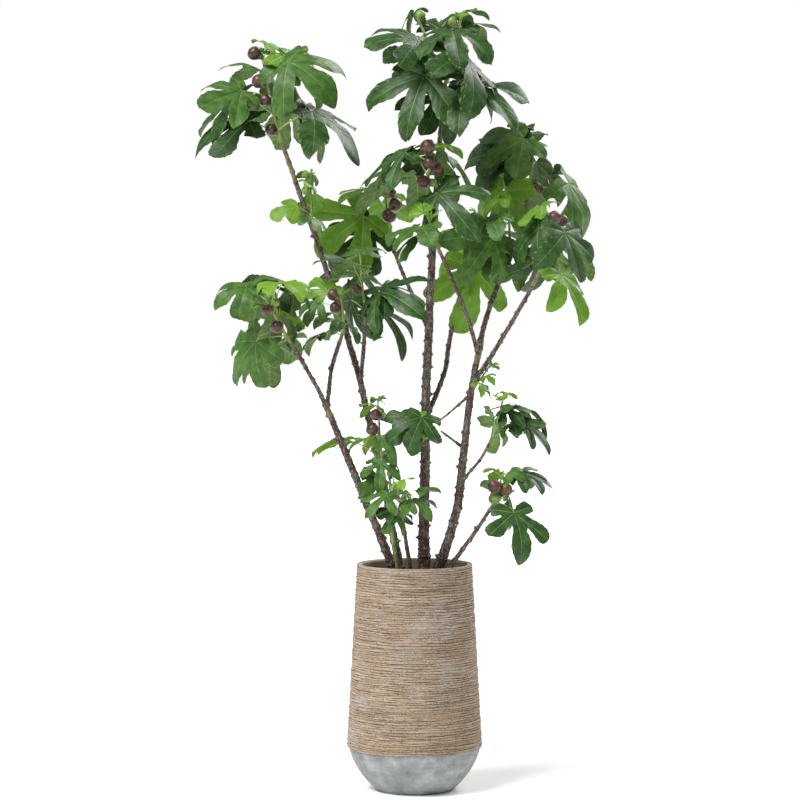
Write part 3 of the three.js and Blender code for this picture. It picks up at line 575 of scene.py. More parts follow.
class Joined:  # many shapes gathered into one mesh
    def __init__(self):
        self.corners, self.quads, self.tris = [], [], []
        self.quadSlots, self.triSlots, self.count = [], [], 0

    def addMesh(self, corners, quads, tris, quadSlots, triSlots):
        self.corners.append(corners)
        self.quads.append(quads + self.count)
        self.tris.append(tris + self.count)
        self.quadSlots.append(quadSlots)
        self.triSlots.append(triSlots)
        self.count += len(corners)

    def addBar(self, centres, radii, slot, tipSlot=None, tipFrom=1.0, blunt=0.6,
               straight=None):
        rings, sides = radii.shape
        body = barRings(centres, radii, straight).reshape(-1, 3)
        tipWay = unit(centres[-1] - centres[-2]) * radii[-1].mean() * blunt
        late = slot if tipSlot is None else tipSlot
        shares = np.repeat(np.arange(rings - 1) / max(rings - 2, 1), sides)
        self.addMesh(np.concatenate([body, centres[:1], centres[-1:] + tipWay]),
                     *barFaces(rings, sides), np.where(shares >= tipFrom, late, slot),
                     np.repeat([slot, late], sides))

    def piece(self, name, materials, crease=60):
        corners, quads, tris, slots = (np.concatenate(rows) for rows in (
            self.corners, self.quads, self.tris, self.quadSlots + self.triSlots))
        return addPiece(name, corners, quads, tris, materials, slots, crease)


# bark: collars at old leaf joints, knobs beside them, fine cracks, and pale flecks that are
# partly the bark's own specks and partly painted glints

bark = dict(
    ringStep=3.0, trunkSides=28, boughSides=20, grain=0.085, grainGain=5, flutes=0.07,
    fluteTurn=0.02, firstCollar=(12, 20), lastCollar=6, collarEvery=(20, 46), collarRise=0.2,
    collarWidth=2.8, knobRise=0.46, knobWidth=5.2, knobSpan=0.5, knobTurn=2.4, wander=1.6,
    wanderStep=55, forkRise=0.3, forkOut=4, forkLength=9, sunk=4, youngFrom=0.93,
    # the fleck tone is pale: partly the bark's own specks, partly painted glints
    greenFrom=0.3, red=shade(92, 54, 42), moss=shade(84, 88, 70), fleckAndGlint=shade(196, 188, 180),
    colours=((0.32, shade(28, 21, 19)), (0.46, shade(56, 44, 40)), (0.56, shade(86, 70, 64)),
             (0.68, shade(142, 128, 120))),
)
# the darker and lighter tone of each smooth stem, and its roughness
stemTones = dict(youngBark=(shade(92, 80, 56), shade(128, 122, 82), 0.6),
                 greenStem=(shade(94, 120, 54), shade(130, 152, 80), 0.5),
                 leafStalk=(shade(128, 150, 80), shade(164, 180, 108), 0.5))


def barkFinish():
    material, tree, surface = newFinish("figBark")
    streaks = noise(tree, 90, 5, (1, 1, 0.45), 0.62)
    patches = noise(tree, 14, 2)
    warm = mask(tree, patches, (0.45, 0), (0.75, 0.55))
    cool = mask(tree, patches, (0.34, 0.5), (0.5, 0))
    # pale flecks: partly the bark's own pale specks, partly painted glints where light would
    # catch
    flecksAndGlints = mask(tree, cells(tree, 170, (1, 1, 1.6)), (0.14, 0.85), (0.3, 0))
    tones = ramp(tree, streaks, bark["colours"])
    for share, over in ((warm, "red"), (cool, "moss"), (flecksAndGlints, "fleckAndGlint")):
        tones = blend(tree, share, tones, bark[over])
    dress(tree, surface, tones, spread(tree, streaks, 0.85, 0.6),
          ((streaks, 0.7, 0.0014), (flecksAndGlints, 0.5, 0.0006)))
    return material


def stemFinish(name, low, high, rough):
    material, tree, surface = newFinish(name)
    mottle = noise(tree, 120, 4, (1, 1, 0.5))
    dress(tree, surface, ramp(tree, mottle, ((0.35, low), (0.62, high))), rough,
          ((mottle, 0.35, 0.0006),))
    return material


barkMaterial = barkFinish()
youngBark, greenStem, stalkGreen = (stemFinish(name, *tones)
                                    for name, tones in stemTones.items())


def barkRadii(length, base, sides, roll, collars=1.0):
    count = len(base)
    along, turn = np.linspace(0, length, count), circle(sides)
    radii = np.repeat(base[:, None], sides, axis=1)
    rng = np.random.RandomState(int(roll() * 1e6))
    grain = rng.rand(count, sides) - 0.5
    for _ in range(2):  # smoothed round the bar, then along it
        grain = (grain + np.roll(grain, 1, 1) + np.roll(grain, -1, 1)) / 3
    grain[1:-1] = (grain[1:-1] * 2 + grain[:-2] + grain[2:]) / 4
    radii *= 1 + grain * bark["grain"] * bark["grainGain"] * collars
    flutes = np.sin(3 * turn[None] + along[:, None] * bark["fluteTurn"] + rng.rand() * 6)
    radii *= 1 + bark["flutes"] * flutes
    first, spare = bark["firstCollar"]
    at, heading = first + spare * roll(), roll() * 2 * math.pi
    while at < length - bark["lastCollar"]:
        near = np.exp(-((along - at) / bark["collarWidth"]) ** 2)
        radii *= 1 + (bark["collarRise"] * (0.5 + roll()) * collars * near)[:, None]
        apart = np.abs((turn - heading + math.pi) % (2 * math.pi) - math.pi)
        knob = np.exp(-(apart / bark["knobSpan"]) ** 2)
        above = np.exp(-((along - at - 2) / bark["knobWidth"]) ** 2)
        size = bark["knobRise"] * (0.35 + roll() * (1.5 if roll() > 0.7 else 0.6))
        radii *= 1 + size * collars * above[:, None] * knob[None]
        heading += bark["knobTurn"] + stray(roll, 0.5)
        at += mix(*bark["collarEvery"], roll())
    return radii


def limbBar(name, order):
    limb = limbs[name]
    roll = dice(4000 + order)
    dense = np.array([limbPoint(name, share) for share in np.linspace(0, 1, 200)])
    walked = np.concatenate([[0], np.cumsum(np.linalg.norm(np.diff(dense, axis=0), axis=1))])
    length = walked[-1]
    at = np.linspace(0, length, int(length / bark["ringStep"]) + 2)
    centres = np.stack([np.interp(at, walked, dense[:, k]) for k in range(3)], -1)
    share = at / length
    base = mix(*limb["radii"], share)
    if "on" in limb:  # a collar where it leaves its parent
        outside = mix(*limbs[limb["on"]]["radii"], limb["at"]) + bark["forkOut"]
        beyond = np.maximum(at - outside, 0) / bark["forkLength"]
        base = base * (1 + bark["forkRise"] * np.exp(-beyond ** 2))
    else:
        base = base + limb["radii"][0] * growth["flare"] * np.exp(-at / growth["flareHeight"])
        centres[0, 2] -= bark["sunk"]
    sides = bark["boughSides"] if "on" in limb else bark["trunkSides"]
    knots = np.arange(0, length + 60, bark["wanderStep"])
    wander = np.stack([np.interp(at, knots, [stray(roll, bark["wander"]) for _ in knots])
                       for _ in range(2)], -1)
    centres[:, :2] += wander * (np.sin(math.pi * share) ** 0.5)[:, None]
    return centres, barkRadii(length, base, sides, roll)


for order, name in enumerate(limbs):
    joined = Joined()
    green = name == "stem_left_low"
    joined.addBar(*limbBar(name, order), 0, 1, bark["greenFrom" if green else "youngFrom"])
    materials = [youngBark, greenStem] if green else [barkMaterial, youngBark]
    piece = joined.piece("bark_" + name, materials)
    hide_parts(name)
print("trunks and boughs done")


# leaf blades: each lobe is a grid between its two edges, rows slanting on from the rib as the
# side veins do, with narrow strips for the veins

blade = dict(
    slant=0.2, wedge=0.28, veinHalf=0.0045, veins=(0.21, 0.32, 0.43, 0.54, 0.65, 0.76, 0.86),
    fewVeins=(0.24, 0.4, 0.56, 0.72), columns=(0.22, 0.52, 0.82), underColumns=(0.3, 0.7),
    firstRows=(0.055, 0.11), lastRow=0.965, ribHalf=0.0085, ribTaper=0.72, ribSunk=0.004,
    thickness=0.0105,
    # each pair below is for the least and the most of what a leaf may have
    innerSinus=(0.56, 0.24), outerSinus=(0.48, 0.2), basalSinus=(0.34, 0.15), basalAngle=44,
    broad=(1.26, 0.82), widestAt=(0.5, 0.7), tipShape=(0.5, 0.95), waves=(0.03, 0.13),
    scallops=(0.02, 0.1), fold=(-0.02, 0.5), sag=(-0.42, 0.08), twist=0.55, widthSpread=0.12,
    ruffle=(0.018, 0.055), pucker=0.014, waveTurns=7.2, ruffleTurns=11,
    fullSize=140,  # leaves smaller than this are less puckered
    diceStep=90, diceStart=9408,
)


def leafPattern(lobeCount):
    b = blade
    veins = b["veins"] if lobeCount == 5 else b["fewVeins"]
    lean = 1 + 4 * b["slant"]
    meet = (lean - math.sqrt(lean ** 2 - 16 * b["slant"] * b["wedge"])) / (8 * b["slant"])
    rows = [(at, 0) for at in (*b["firstRows"], meet)]  # the third row ends in the sinus
    wedgeRow = len(rows) - 1
    for vein, after in zip(veins, (*veins[1:], 0.96)):
        rows += [(vein - b["veinHalf"], 0), (vein + b["veinHalf"], 1), ((vein + after) / 2, 0)]
    rows.append((b["lastRow"], 0))
    rowAt = np.array([at for at, _ in rows] + [1.0])
    isVein = [vein for _, vein in rows] + [0]  # 1 for the strip that ends at this row
    depth = np.zeros(len(rows) + 2)  # 1 half way between veins, 0 on a vein
    depth[wedgeRow + 3:len(rows) - 1:3] = 1.0
    columns = [[-1, *(-c for c in half[::-1]), -0.0, 0.0, *half, 1]
               for half in (b["columns"], b["underColumns"])]
    lobeOf, atRow, across, side, sheetOf = [0], [-1], [0.0], [0], [0]  # corner 0 is the hub
    made = {}

    def corner(lobe, row, column, sheet):
        last, middle = len(columns[sheet]) - 1, len(columns[sheet]) // 2
        atTip, atEdge = row == len(rows), column in (0, last)
        outer = (lobe == 0 and column == 0) or (lobe == lobeCount - 1 and column == last)
        if column == 0 and not outer and row <= wedgeRow:  # also the lobe before's last one
            return corner(lobe - 1, row, last, sheet)
        # the upper side and the under side meet at the tip and round the edge
        shared = atTip or (atEdge and (outer or row >= wedgeRow))
        spot = "tip" if atTip else "low" if column == 0 else "high" if atEdge else column
        key = (lobe, row, spot, 0 if shared else sheet)
        if key not in made:
            made[key] = len(lobeOf)
            lobeOf.append(lobe)
            atRow.append(row)
            across.append(0.0 if atTip else columns[sheet][column])
            side.append(0 if atTip else {middle - 1: -1, middle: 1}.get(column, 0))
            sheetOf.append(-1 if shared else sheet)
        return made[key]

    quads, tris, quadSlots, triSlots = [], [], [], []
    for sheet in (0, 1):
        last, middle = len(columns[sheet]) - 1, len(columns[sheet]) // 2
        for lobe in range(lobeCount):
            for column in range(last):
                for row in range(-1, len(rows)):
                    upper = [corner(lobe, row + 1, column + step, sheet) for step in (0, 1)]
                    lower = ([0] if row < 0 else
                             [corner(lobe, row, column + step, sheet) for step in (0, 1)])
                    if row == len(rows) - 1:
                        upper = upper[:1]  # both are the lobe's tip
                    face = [lower[0], *upper, *lower[1:]]
                    sideVein = isVein[row + 1] and 0 < column < last - 1
                    slot = (1 if column == middle - 1 else 2 if sideVein else 0) + 3 * sheet
                    (tris if len(face) == 3 else quads).append(face[::-1 if sheet == 0 else 1])
                    (triSlots if len(face) == 3 else quadSlots).append(slot)
    atRow, across = np.array(atRow), np.array(across)
    t = np.where(atRow < 0, 0, rowAt[atRow])
    return dict(
        lobe=np.array(lobeOf), v=across, rib=np.array(side), sheet=np.array(sheetOf),
        s=t + b["slant"] * np.abs(across) * 4 * t * (1 - t), depth=depth[atRow],
        quads=np.array(quads), tris=np.array(tris),
        quadSlots=np.array(quadSlots), triSlots=np.array(triSlots))


patterns = {count: leafPattern(count) for count in (3, 5)}


def leafCorners(leaf, pattern, roll):
    b, s, v, lobes = blade, pattern["s"], pattern["v"], leaf["lobes"]
    count, wedge = len(lobes), blade["wedge"]
    middle = (count - 1) / 2
    divided = roll() ** (0.45 if count == 5 else 1.1)
    broad = mix(*b["broad"], divided)
    widestAt, tipShape, waves, scallops, fold, ruffle = (
        mix(*b[key], roll())
        for key in ("widestAt", "tipShape", "waves", "scallops", "fold", "ruffle"))
    small = min(1, leaf["size"] / b["fullSize"])
    x, y, raised = np.zeros((3, len(s)))
    for i, (angle, length, width) in enumerate(lobes):
        mine = pattern["lobe"] == i
        share, hollow = s[mine], pattern["depth"][mine]
        beyond = np.clip((share - wedge) / (1 - wedge), 0, 1)
        sag, twist = mix(*b["sag"], roll()), stray(roll, b["twist"])
        edges = []
        for j in (i - 1, i + 1):
            if 0 <= j < count:
                inner = middle in (i, j)
                depth = mix(*b["innerSinus" if inner else "outerSinus"], divided)
                gapAngle = abs(lobes[j][0] - angle) / 2
            else:
                depth, gapAngle = mix(*b["basalSinus"], divided), b["basalAngle"] * degree
            sinusAlong, sinusOff = math.cos(gapAngle) * depth, math.sin(gapAngle) * depth
            wide = width * broad * (1 + stray(roll, b["widthSpread"]))
            wide = max(wide, sinusOff * 1.04)
            phase = roll() * 6.3
            widest = mix(sinusAlong, length, widestAt)
            before = np.clip(beyond * 2, 0, 1)
            bend = np.clip(beyond * 2 - 1, 0, 1) * math.pi / 2
            along = mix(sinusAlong, widest, before) + (length - widest) * np.sin(bend)
            off = mix(sinusOff, wide, ease(before)) * np.cos(bend) ** tipShape
            wavy = np.sin(b["waveTurns"] * beyond + phase) * np.sin(math.pi * beyond) ** 0.7
            off = off * (1 - scallops * (hollow - 0.4) * (beyond > 0.05) + waves * wavy)
            inside = share < wedge
            along = np.where(inside, sinusAlong * share / wedge, along)
            off = np.where(inside, sinusOff * share / wedge, off)
            edges.append((along, off, phase))
        (lowAlong, lowOff, lowPhase), (highAlong, highOff, highPhase) = edges
        left, reach, rib = v[mine] < 0, np.abs(v[mine]), pattern["rib"][mine]
        along = mix((lowAlong + highAlong) / 2, np.where(left, lowAlong, highAlong), reach)
        ribHalf = b["ribHalf"] * (1 - b["ribTaper"] * share) * min(1, 90 / leaf["size"] + 0.25)
        ribHalf = np.minimum(ribHalf, np.maximum(lowOff, highOff) * 0.4)
        off = np.where(rib != 0, rib * ribHalf, np.where(left, -lowOff, highOff) * reach)
        x[mine] = math.cos(angle) * along - math.sin(angle) * off
        y[mine] = math.sin(angle) * along + math.cos(angle) * off
        phase = np.where(left, lowPhase, highPhase)
        lift = fold * np.abs(off) * (1 - 0.5 * reach) + sag * beyond ** 2 * length
        lift += twist * off * beyond
        lift += ruffle * np.sin(b["ruffleTurns"] * share + phase) * reach ** 2 * np.sqrt(beyond)
        lift += (b["pucker"] * small * (hollow - 0.25) * np.sin(math.pi * np.clip(reach, 0, 1))
                 * (share > wedge * 0.8))
        raised[mine] = lift - np.where(rib != 0, b["ribSunk"], 0)
    raised[pattern["sheet"] == 1] -= b["thickness"] * min(1, 110 / leaf["size"])
    x[0] = y[0] = raised[0] = 0
    curl = leaf["curl"] * (x * x + y * y)
    corners = leaf["joint"] + leaf["size"] * (
        x[:, None] * leaf["along"] + y[:, None] * leaf["across"]
        + (raised - curl)[:, None] * leaf["up"])
    return np.clip(corners, np.array(cadLow) / mm, np.array(cadHigh) / mm)


leafTones = dict(
    deep=dict(low=shade(32, 62, 22), high=shade(52, 87, 35), rough=0.47, through=0.12),
    mid=dict(low=shade(58, 94, 34), high=shade(82, 121, 49), rough=0.48, through=0.2),
    # the pale tones from here on serve younger leaves and, as painted light, leaves lit through
    # from behind
    freshAndLit=dict(low=shade(106, 152, 48), high=shade(134, 176, 68), rough=0.42, through=0.5,
               glow=shade(176, 206, 96)),
    young=dict(low=shade(122, 166, 52), high=shade(146, 186, 72), rough=0.42, through=0.46,
               glow=shade(170, 204, 88)),
    sideDeep=dict(low=shade(54, 86, 36), high=shade(74, 106, 48), rough=0.4, through=0.1),
    sideFreshAndLit=dict(low=shade(118, 158, 64), high=shade(138, 174, 80), rough=0.44, through=0.3),
    ribDeep=dict(low=shade(96, 128, 60), high=shade(120, 150, 80), rough=0.46, through=0.1),
    ribFreshAndLit=dict(low=shade(162, 190, 104), high=shade(176, 200, 120), rough=0.48, through=0.2),
    under=dict(low=shade(90, 122, 62), high=shade(108, 138, 76), rough=0.62, through=0.16),
    underFreshAndLit=dict(low=shade(118, 162, 60), high=shade(140, 178, 78), rough=0.6, through=0.34),
    underVein=dict(low=shade(134, 160, 96), high=shade(152, 176, 114), rough=0.58,
                   through=0.1),
)


def leafFinish(name, tone):
    material, tree, surface = newFinish(name)
    mottle = noise(tree, 45, 3)
    dress(tree, surface, ramp(tree, mottle, ((0.38, tone["low"]), (0.62, tone["high"]))),
          tone["rough"], ((mottle, 0.14, 0.0012),))
    surface.inputs["Specular IOR Level"].default_value = 0.32
    lit = addNode(tree, "ShaderNodeBsdfTranslucent", Color=tone.get("glow", tone["high"]))
    tree.links.new(mixShaders(tree, tone["through"], surface, lit),
                   tree.nodes["Material Output"].inputs["Surface"])
    return material


toneMaterials = [leafFinish("leaf_" + name, tone) for name, tone in leafTones.items()]


def slotsFor(tone):  # upper blade, its rib and side veins, then the same beneath
    kind, under = ("Deep", "under") if tone in ("deep", "mid") else ("FreshAndLit", "underFreshAndLit")
    names = (tone, "rib" + kind, "side" + kind, under, "underVein", "underVein")
    return np.array([list(leafTones).index(name) for name in names])


def toneFor(shoot, leaf, roll):
    # a leaf counted as lit gets a pale tone, painted light that stands in for being lit through
    # from behind; near the tip the fresh tone is the younger leaves' own paler colour
    lit = roll() * 10 < shoot["lit"]
    pick = roll()
    if lit:
        return "young" if pick > 0.72 else "freshAndLit"
    if leaf["rank"] > 0.85:
        return "freshAndLit" if pick > 0.5 else "mid"
    return "mid" if pick > 0.58 else "deep"


leafGroups = dict(
    left=("foliage_top_left", "foliage_left_spur", "foliage_left", "foliage_middle",
          "foliage_middle_left"),
    centre=("foliage_top_centre", "foliage_centre", "foliage_centre_back",
            "foliage_centre_front"),
    right=("foliage_right_top", "foliage_right_outer", "foliage_right_inner",
           "foliage_right_back"),
    low=("foliage_low_left", "foliage_low_front", "foliage_low_centre", "foliage_low_right",
         "foliage_foot_right", "foliage_tuft"),
)

sprout = dict(count=3, upShoot=0.985, turn=137, size=(16, 30), fullBlade=110, headroom=48,
              stalk=0.35, lift=(58, 80), stalkBend=10, rise=(35, 70), curl=0.5, angleSpread=6,
              narrow=0.9)


def youngLeaves(order):  # small half-open leaves round the bud at a shoot's tip
    make, shoot = sprout, shoots[order]
    roll = dice(9000 + shoot["seed"])
    tip = curvePoint(curves[order], make["upShoot"])
    spare = (cadHigh[2] / mm - tip[2]) / make["headroom"]
    leaves = []
    for i in range(make["count"]):
        heading = 360 * roll() + i * make["turn"]
        size = mix(*make["size"], roll()) * min(1, shoot["blade"] / make["fullBlade"], spare)
        lift, rise = mix(*make["lift"], roll()), mix(*make["rise"], roll())
        knee = tip + compass(heading, lift) * size * make["stalk"]
        joint = knee + compass(heading, lift - make["stalkBend"]) * size * make["stalk"]
        along = compass(heading, rise)
        up = unit(np.cross(along, compass(heading + 90, 0)))
        up = up if up[2] > 0 else -up
        lobes = [((angle + stray(roll, make["angleSpread"])) * degree, length,
                  width * make["narrow"]) for angle, length, width in leafShape["threeLobes"]]
        leaves.append(dict(node=tip, knee=knee, joint=joint, along=along, up=up,
                           across=np.cross(up, along), size=size,
                           curl=make["curl"] * stray(roll, 1), lobes=lobes, rank=1.0))
    return leaves


for group, masses in leafGroups.items():
    joined = Joined()
    for order, grove in enumerate(groves):
        if grove["mass"] not in masses:
            continue
        shoot = shoots[order]
        grove["young"] = youngLeaves(order)
        for index, leaf in enumerate(grove["leaves"] + grove["young"]):
            roll = dice(shoot["seed"] * blade["diceStep"] + blade["diceStart"] + index)
            pattern = patterns[len(leaf["lobes"])]
            tone = toneFor(shoot, leaf, roll) if index < len(grove["leaves"]) else "young"
            slots = slotsFor(tone)
            joined.addMesh(leafCorners(leaf, pattern, roll), pattern["quads"], pattern["tris"],
                           slots[pattern["quadSlots"]], slots[pattern["triSlots"]])
    piece = joined.piece("leaves_" + group, toneMaterials, 75)
    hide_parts(*masses)
print("leaves done")


# shoots with their joint rings, buds and leaf stalks

shootMake = dict(ringStep=3.2, sides=14, tipRadius=3.1, startRadius=4.2, onLimb=0.98, sunk=2,
                 taper=0.8, slack=1.03, collars=0.55, fullBlade=120, slimmest=0.62,
                 greenFrom=0.12, budLength=19, budRadius=3.6, budRings=9, budSides=10,
                 stalkSides=9, stalkRings=16, youngRings=7, stalkRadius=0.0145,
                 leastStalk=0.7, stalkFoot=1.5, stalkTaper=0.12)

joined = Joined()
for order, shoot in enumerate(shoots):
    make, curve = shootMake, curves[order]
    roll = dice(600 + shoot["seed"])
    length = np.linalg.norm(curve[2] - curve[0]) * make["slack"]
    share = np.linspace(0, 1, int(length / make["ringStep"]) + 3)
    centres = np.array([curvePoint(curve, at) for at in share])
    start = make["startRadius"]
    if "limb" in shoot:
        start = limbs[shoot["limb"]]["radii"][1] * make["onLimb"]
        centres[0] -= unit(centres[1] - centres[0]) * make["sunk"]
    slim = min(1.0, max(shoot["blade"] / make["fullBlade"], make["slimmest"]))
    base = mix(start, make["tipRadius"] * slim, share ** make["taper"])
    radii = barkRadii(length, base, make["sides"], roll, make["collars"])
    green = shoot["mass"] == "foliage_low_left"
    joined.addBar(centres, radii, 1 if green else 0, 1, make["greenFrom"])
    way = unit(centres[-1] - centres[-2])
    at = np.linspace(0, 1, make["budRings"])
    swell = np.sin(math.pi * np.clip(at * 0.78 + 0.22, 0, 1)) ** 0.8
    radii = np.maximum(make["budRadius"] * slim * swell, 0.25)
    joined.addBar(centres[-1] + way * (at[:, None] * make["budLength"] * slim - 1),
                  np.repeat(radii[:, None], make["budSides"], axis=1), 1)
    for leaf in groves[order]["leaves"] + groves[order]["young"]:
        at = np.linspace(0, 1, make["stalkRings" if leaf["size"] > 40 else "youngRings"])
        line = np.array([curvePoint((leaf["node"], leaf["knee"], leaf["joint"]), step)
                         for step in at])
        thick = max(leaf["size"] * make["stalkRadius"], make["leastStalk"])
        shape = 1 + (make["stalkFoot"] - 1) * np.exp(-at * 9) - make["stalkTaper"] * at
        line[-1] -= leaf["up"] * thick * 0.2
        joined.addBar(line, np.repeat((thick * shape)[:, None], make["stalkSides"], axis=1),
                      2, blunt=0.2)
piece = joined.piece("shoots_and_stalks", [youngBark, greenStem, stalkGreen])
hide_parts("foliage_top_left")
print("shoots and stalks done")


# figs: a stalk, a pear-shaped body with faint ribs, and the eye

figMake = dict(
    sides=22, greenBelow=14.5, turningShare=0.3, plumpSpread=0.05, ribs=11, ribDepth=0.022,
    neckTo=0.26,
    # how far out along the fig, and how wide there, in radii
    outline=((0.0, 0.1), (0.25, 0.1), (0.42, 0.17), (0.62, 0.36), (0.85, 0.6), (1.1, 0.82),
             (1.35, 0.95), (1.6, 0.99), (1.85, 0.95), (2.08, 0.83), (2.26, 0.64), (2.38, 0.42),
             (2.44, 0.24), (2.47, 0.17), (2.44, 0.1), (2.4, 0.04)),
)
# the darker and lighter tone of each skin, its specks and its roughness
figTones = dict(
    figRipe=(shade(54, 34, 30), shade(94, 62, 52), shade(146, 118, 102), 0.34),
    figTurning=(shade(80, 50, 38), shade(128, 92, 66), shade(170, 142, 110), 0.36),
    figGreen=(shade(92, 124, 52), shade(122, 150, 70), shade(158, 174, 108), 0.42),
    figNeck=(shade(88, 84, 50), shade(116, 112, 70), shade(140, 132, 96), 0.45),
)


def figFinish(name, low, high, speck, rough):
    material, tree, surface = newFinish(name)
    streaks = noise(tree, 60, 4, rough=0.6)
    specks = mask(tree, cells(tree, 520), (0.12, 0.5), (0.22, 0))
    tones = ramp(tree, streaks, ((0.4, low), (0.58, high)))
    dress(tree, surface, blend(tree, specks, tones, speck), rough, ((streaks, 0.3, 0.0012),))
    return material


figMaterials = [figFinish(name, *tones) for name, tones in figTones.items()]
ripeSkin, turningSkin, greenSkin, neckSkin = range(4)
joined = Joined()
for order, shoot in enumerate(shoots):
    for index, (share, heading, radius) in enumerate(shoot.get("figs", ())):
        roll = dice(shoot["seed"] * 7 + 300 + index)
        axis = compass(heading, growth["figLift"])
        outline = np.array(figMake["outline"]) * radius
        plump = 1 + stray(roll, figMake["plumpSpread"])
        centres = curvePoint(curves[order], share) + outline[:, :1] * axis
        ribs = np.cos(figMake["ribs"] * circle(figMake["sides"]) + roll() * 6)
        body = np.clip((outline[:, 1] / radius - 0.3) * 3, 0, 1)[:, None]
        radii = outline[:, 1:] * plump * mix(1, 1 + figMake["ribDepth"] * ribs[None], body)
        if radius < figMake["greenBelow"]:
            skin = greenSkin
        else:
            skin = turningSkin if roll() > 1 - figMake["turningShare"] else ripeSkin
        joined.addBar(centres, radii, neckSkin, skin, figMake["neckTo"], 0.0, axis)
piece = joined.piece("figs", figMaterials, 80)
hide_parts("foliage_top_left")
print("figs done")


# the pot: woven sleeve, cast foot and inner wall, soil

pot = dict(height=622, footRadius=104, bellyRadius=187, bellyHeight=131, rimRadius=160,
           sidePower=1.0, bowlPower=0.82, bowlArc=72, seamHeight=117, seamRadius=181.3,
           sleeve=5, wall=12, soilHeight=575)


def sideRadius(height):
    share = np.maximum((pot["height"] - height) / (pot["height"] - pot["bellyHeight"]), 0)
    drawn = share ** pot["sidePower"]
    return np.minimum(mix(pot["rimRadius"], pot["bellyRadius"], drawn), pot["bellyRadius"])


def bowlRadius(height):
    arc = pot["bowlArc"] * degree  # how far round a quarter turn the bowl's side goes
    share = np.sin((height / pot["seamHeight"]) ** pot["bowlPower"] * arc) / math.sin(arc)
    return mix(pot["footRadius"], pot["seamRadius"], share)


def turned(radii, heights, closed=False):  # rings of corners round the pot's axis
    turn = circle(radii.shape[1])
    corners = np.stack([radii * np.cos(turn), radii * np.sin(turn), heights], -1)
    return corners.reshape(-1, 3), gridFaces(*radii.shape, closed=closed)


def capped(radii, heights, ends, downwards):  # the same, with a fan at the first and last ring
    corners, quads = turned(radii, heights)
    rings, sides = radii.shape
    tris = np.concatenate([fan(len(corners), 0, sides, downwards),
                           fan(len(corners) + 1, (rings - 1) * sides, sides, not downwards)])
    corners = np.concatenate([corners, [[0, 0, end] for end in ends]])
    return corners, quads[:, ::-1] if downwards else quads, tris


sleeve = dict(strands=78, shares=(0.0, 0.13, 0.38, 0.66, 0.9), sides=240, depth=3.4,
              deepest=4.3, pitch=(0.78, 0.44), thinnest=1.4, wander=2.0, grit=0.8, lined=0.2,
              # the side at 240 degrees faces the key light: its grooves are shallower and its
              # painted shade lines fewer
              keyLitSide=240, litSideFade=0.3, crest=1.8, inset=0.3, lightBelow=-0.35, brownAbove=0.3,
              light=((0.36, shade(149, 134, 114)), (0.6, shade(169, 153, 133))),
              plain=((0.36, shade(140, 123, 104)), (0.6, shade(160, 141, 122))),
              brown=((0.36, shade(132, 112, 92)), (0.6, shade(153, 131, 110))),
              # painted shade: the dark tone laid along the grooves between strands
              grooveShade=((0.36, shade(36, 28, 22)), (0.6, shade(70, 56, 44))),
              pit=shade(64, 50, 38), pale=shade(196, 180, 158), warm=shade(160, 133, 102),
              dust=shade(170, 162, 157))


def slowWaves(rng, count, turn, orders):  # a slow wave round the pot for each row
    waves = np.zeros((count, len(turn)))
    for order in orders:
        phase = rng.rand(count, 1) * 2 * math.pi
        waves += (rng.rand(count, 1) - 0.5) * np.sin(order * turn[None] + phase)
    return waves


def sleeveMesh():
    weave, count, sides = sleeve, sleeve["strands"], sleeve["sides"]
    rng = np.random.RandomState(11)
    turn = circle(sides)
    low, high = pot["seamHeight"] + 0.5, pot["height"] - 2.5
    least, spare = weave["pitch"]
    pitches = least + spare * rng.rand(count)
    edges = low + (high - low) * np.concatenate([[0], np.cumsum(pitches)]) / pitches.sum()
    wander = slowWaves(rng, count + 1, turn, (1, 2, 3, 5, 8, 13)) * weave["wander"]
    lines = edges[:, None] + wander
    lines[0], lines[-1] = low, high
    for i in range(1, count + 1):  # a strand that runs thin is laid over by the next
        lines[i] = np.clip(lines[i], lines[i - 1] + weave["thinnest"], high - 0.9 * (count - i))
    # the grooves are shallower on the front left side, which faces the key light, and the
    # painted shade lines in them are fewer there and more on the far side
    litSideFade = weave["litSideFade"] * np.cos(turn - weave["keyLitSide"] * degree)
    swell = 1 + slowWaves(rng, count, turn, (1, 2, 3, 5)) * 0.3 - litSideFade
    lined = slowWaves(rng, count + 1, turn, (2, 3, 5, 8, 13, 17))
    # painted shade lines: fewer on the side facing the key light, more on the far side
    dark = lined > weave["lined"] + litSideFade - 0.5
    tone = slowWaves(rng, count, turn, (1, 2, 4, 7, 11)) + rng.rand(count, 1) - 0.5
    tone = np.digitize(tone, (weave["lightBelow"], weave["brownAbove"]))
    crest = rng.rand(count) ** 1.5 * weave["crest"]
    heights, radii, slots = [], [], []
    for i in range(count):
        tall = lines[i + 1] - lines[i]
        for share in weave["shares"]:
            z = lines[i] + tall * share
            bulge = math.sin(math.pi * share) ** 0.55 if share else 0.0
            heights.append(z)
            dip = weave["depth"] * np.clip(tall / 9, 0.5, 1.2) * swell[i] * (1 - bulge)
            dip = np.clip(dip + crest[i], 0, weave["deepest"])
            radii.append(sideRadius(z) - weave["inset"] - dip - rng.rand(sides) * weave["grit"])
            if share in (weave["shares"][0], weave["shares"][-1]):  # beside a groove
                # where a groove is lined, its dark tone is painted shade
                slots.append(np.where(dark[i + (share > 0)], 3, tone[i]))
            else:
                slots.append(tone[i])
    top, rim = pot["height"], pot["rimRadius"]
    inner = sideRadius(np.array(low)) - pot["sleeve"]
    for height, radius in ((high, rim - 1.2), (top - 0.3, rim - 2.2), (top, rim - 4.8),
                           (top - 6, rim - pot["sleeve"]), (low, inner)):
        heights.append(np.full(sides, height))
        radii.append(np.full(sides, radius))
        # the ring at the sleeve's inner foot also takes the dark painted-shade tone
        slots.append(np.full(sides, 0 if height > low else 3))
    corners, quads = turned(np.array(radii), np.array(heights), closed=True)
    return corners, quads, np.concatenate(slots)


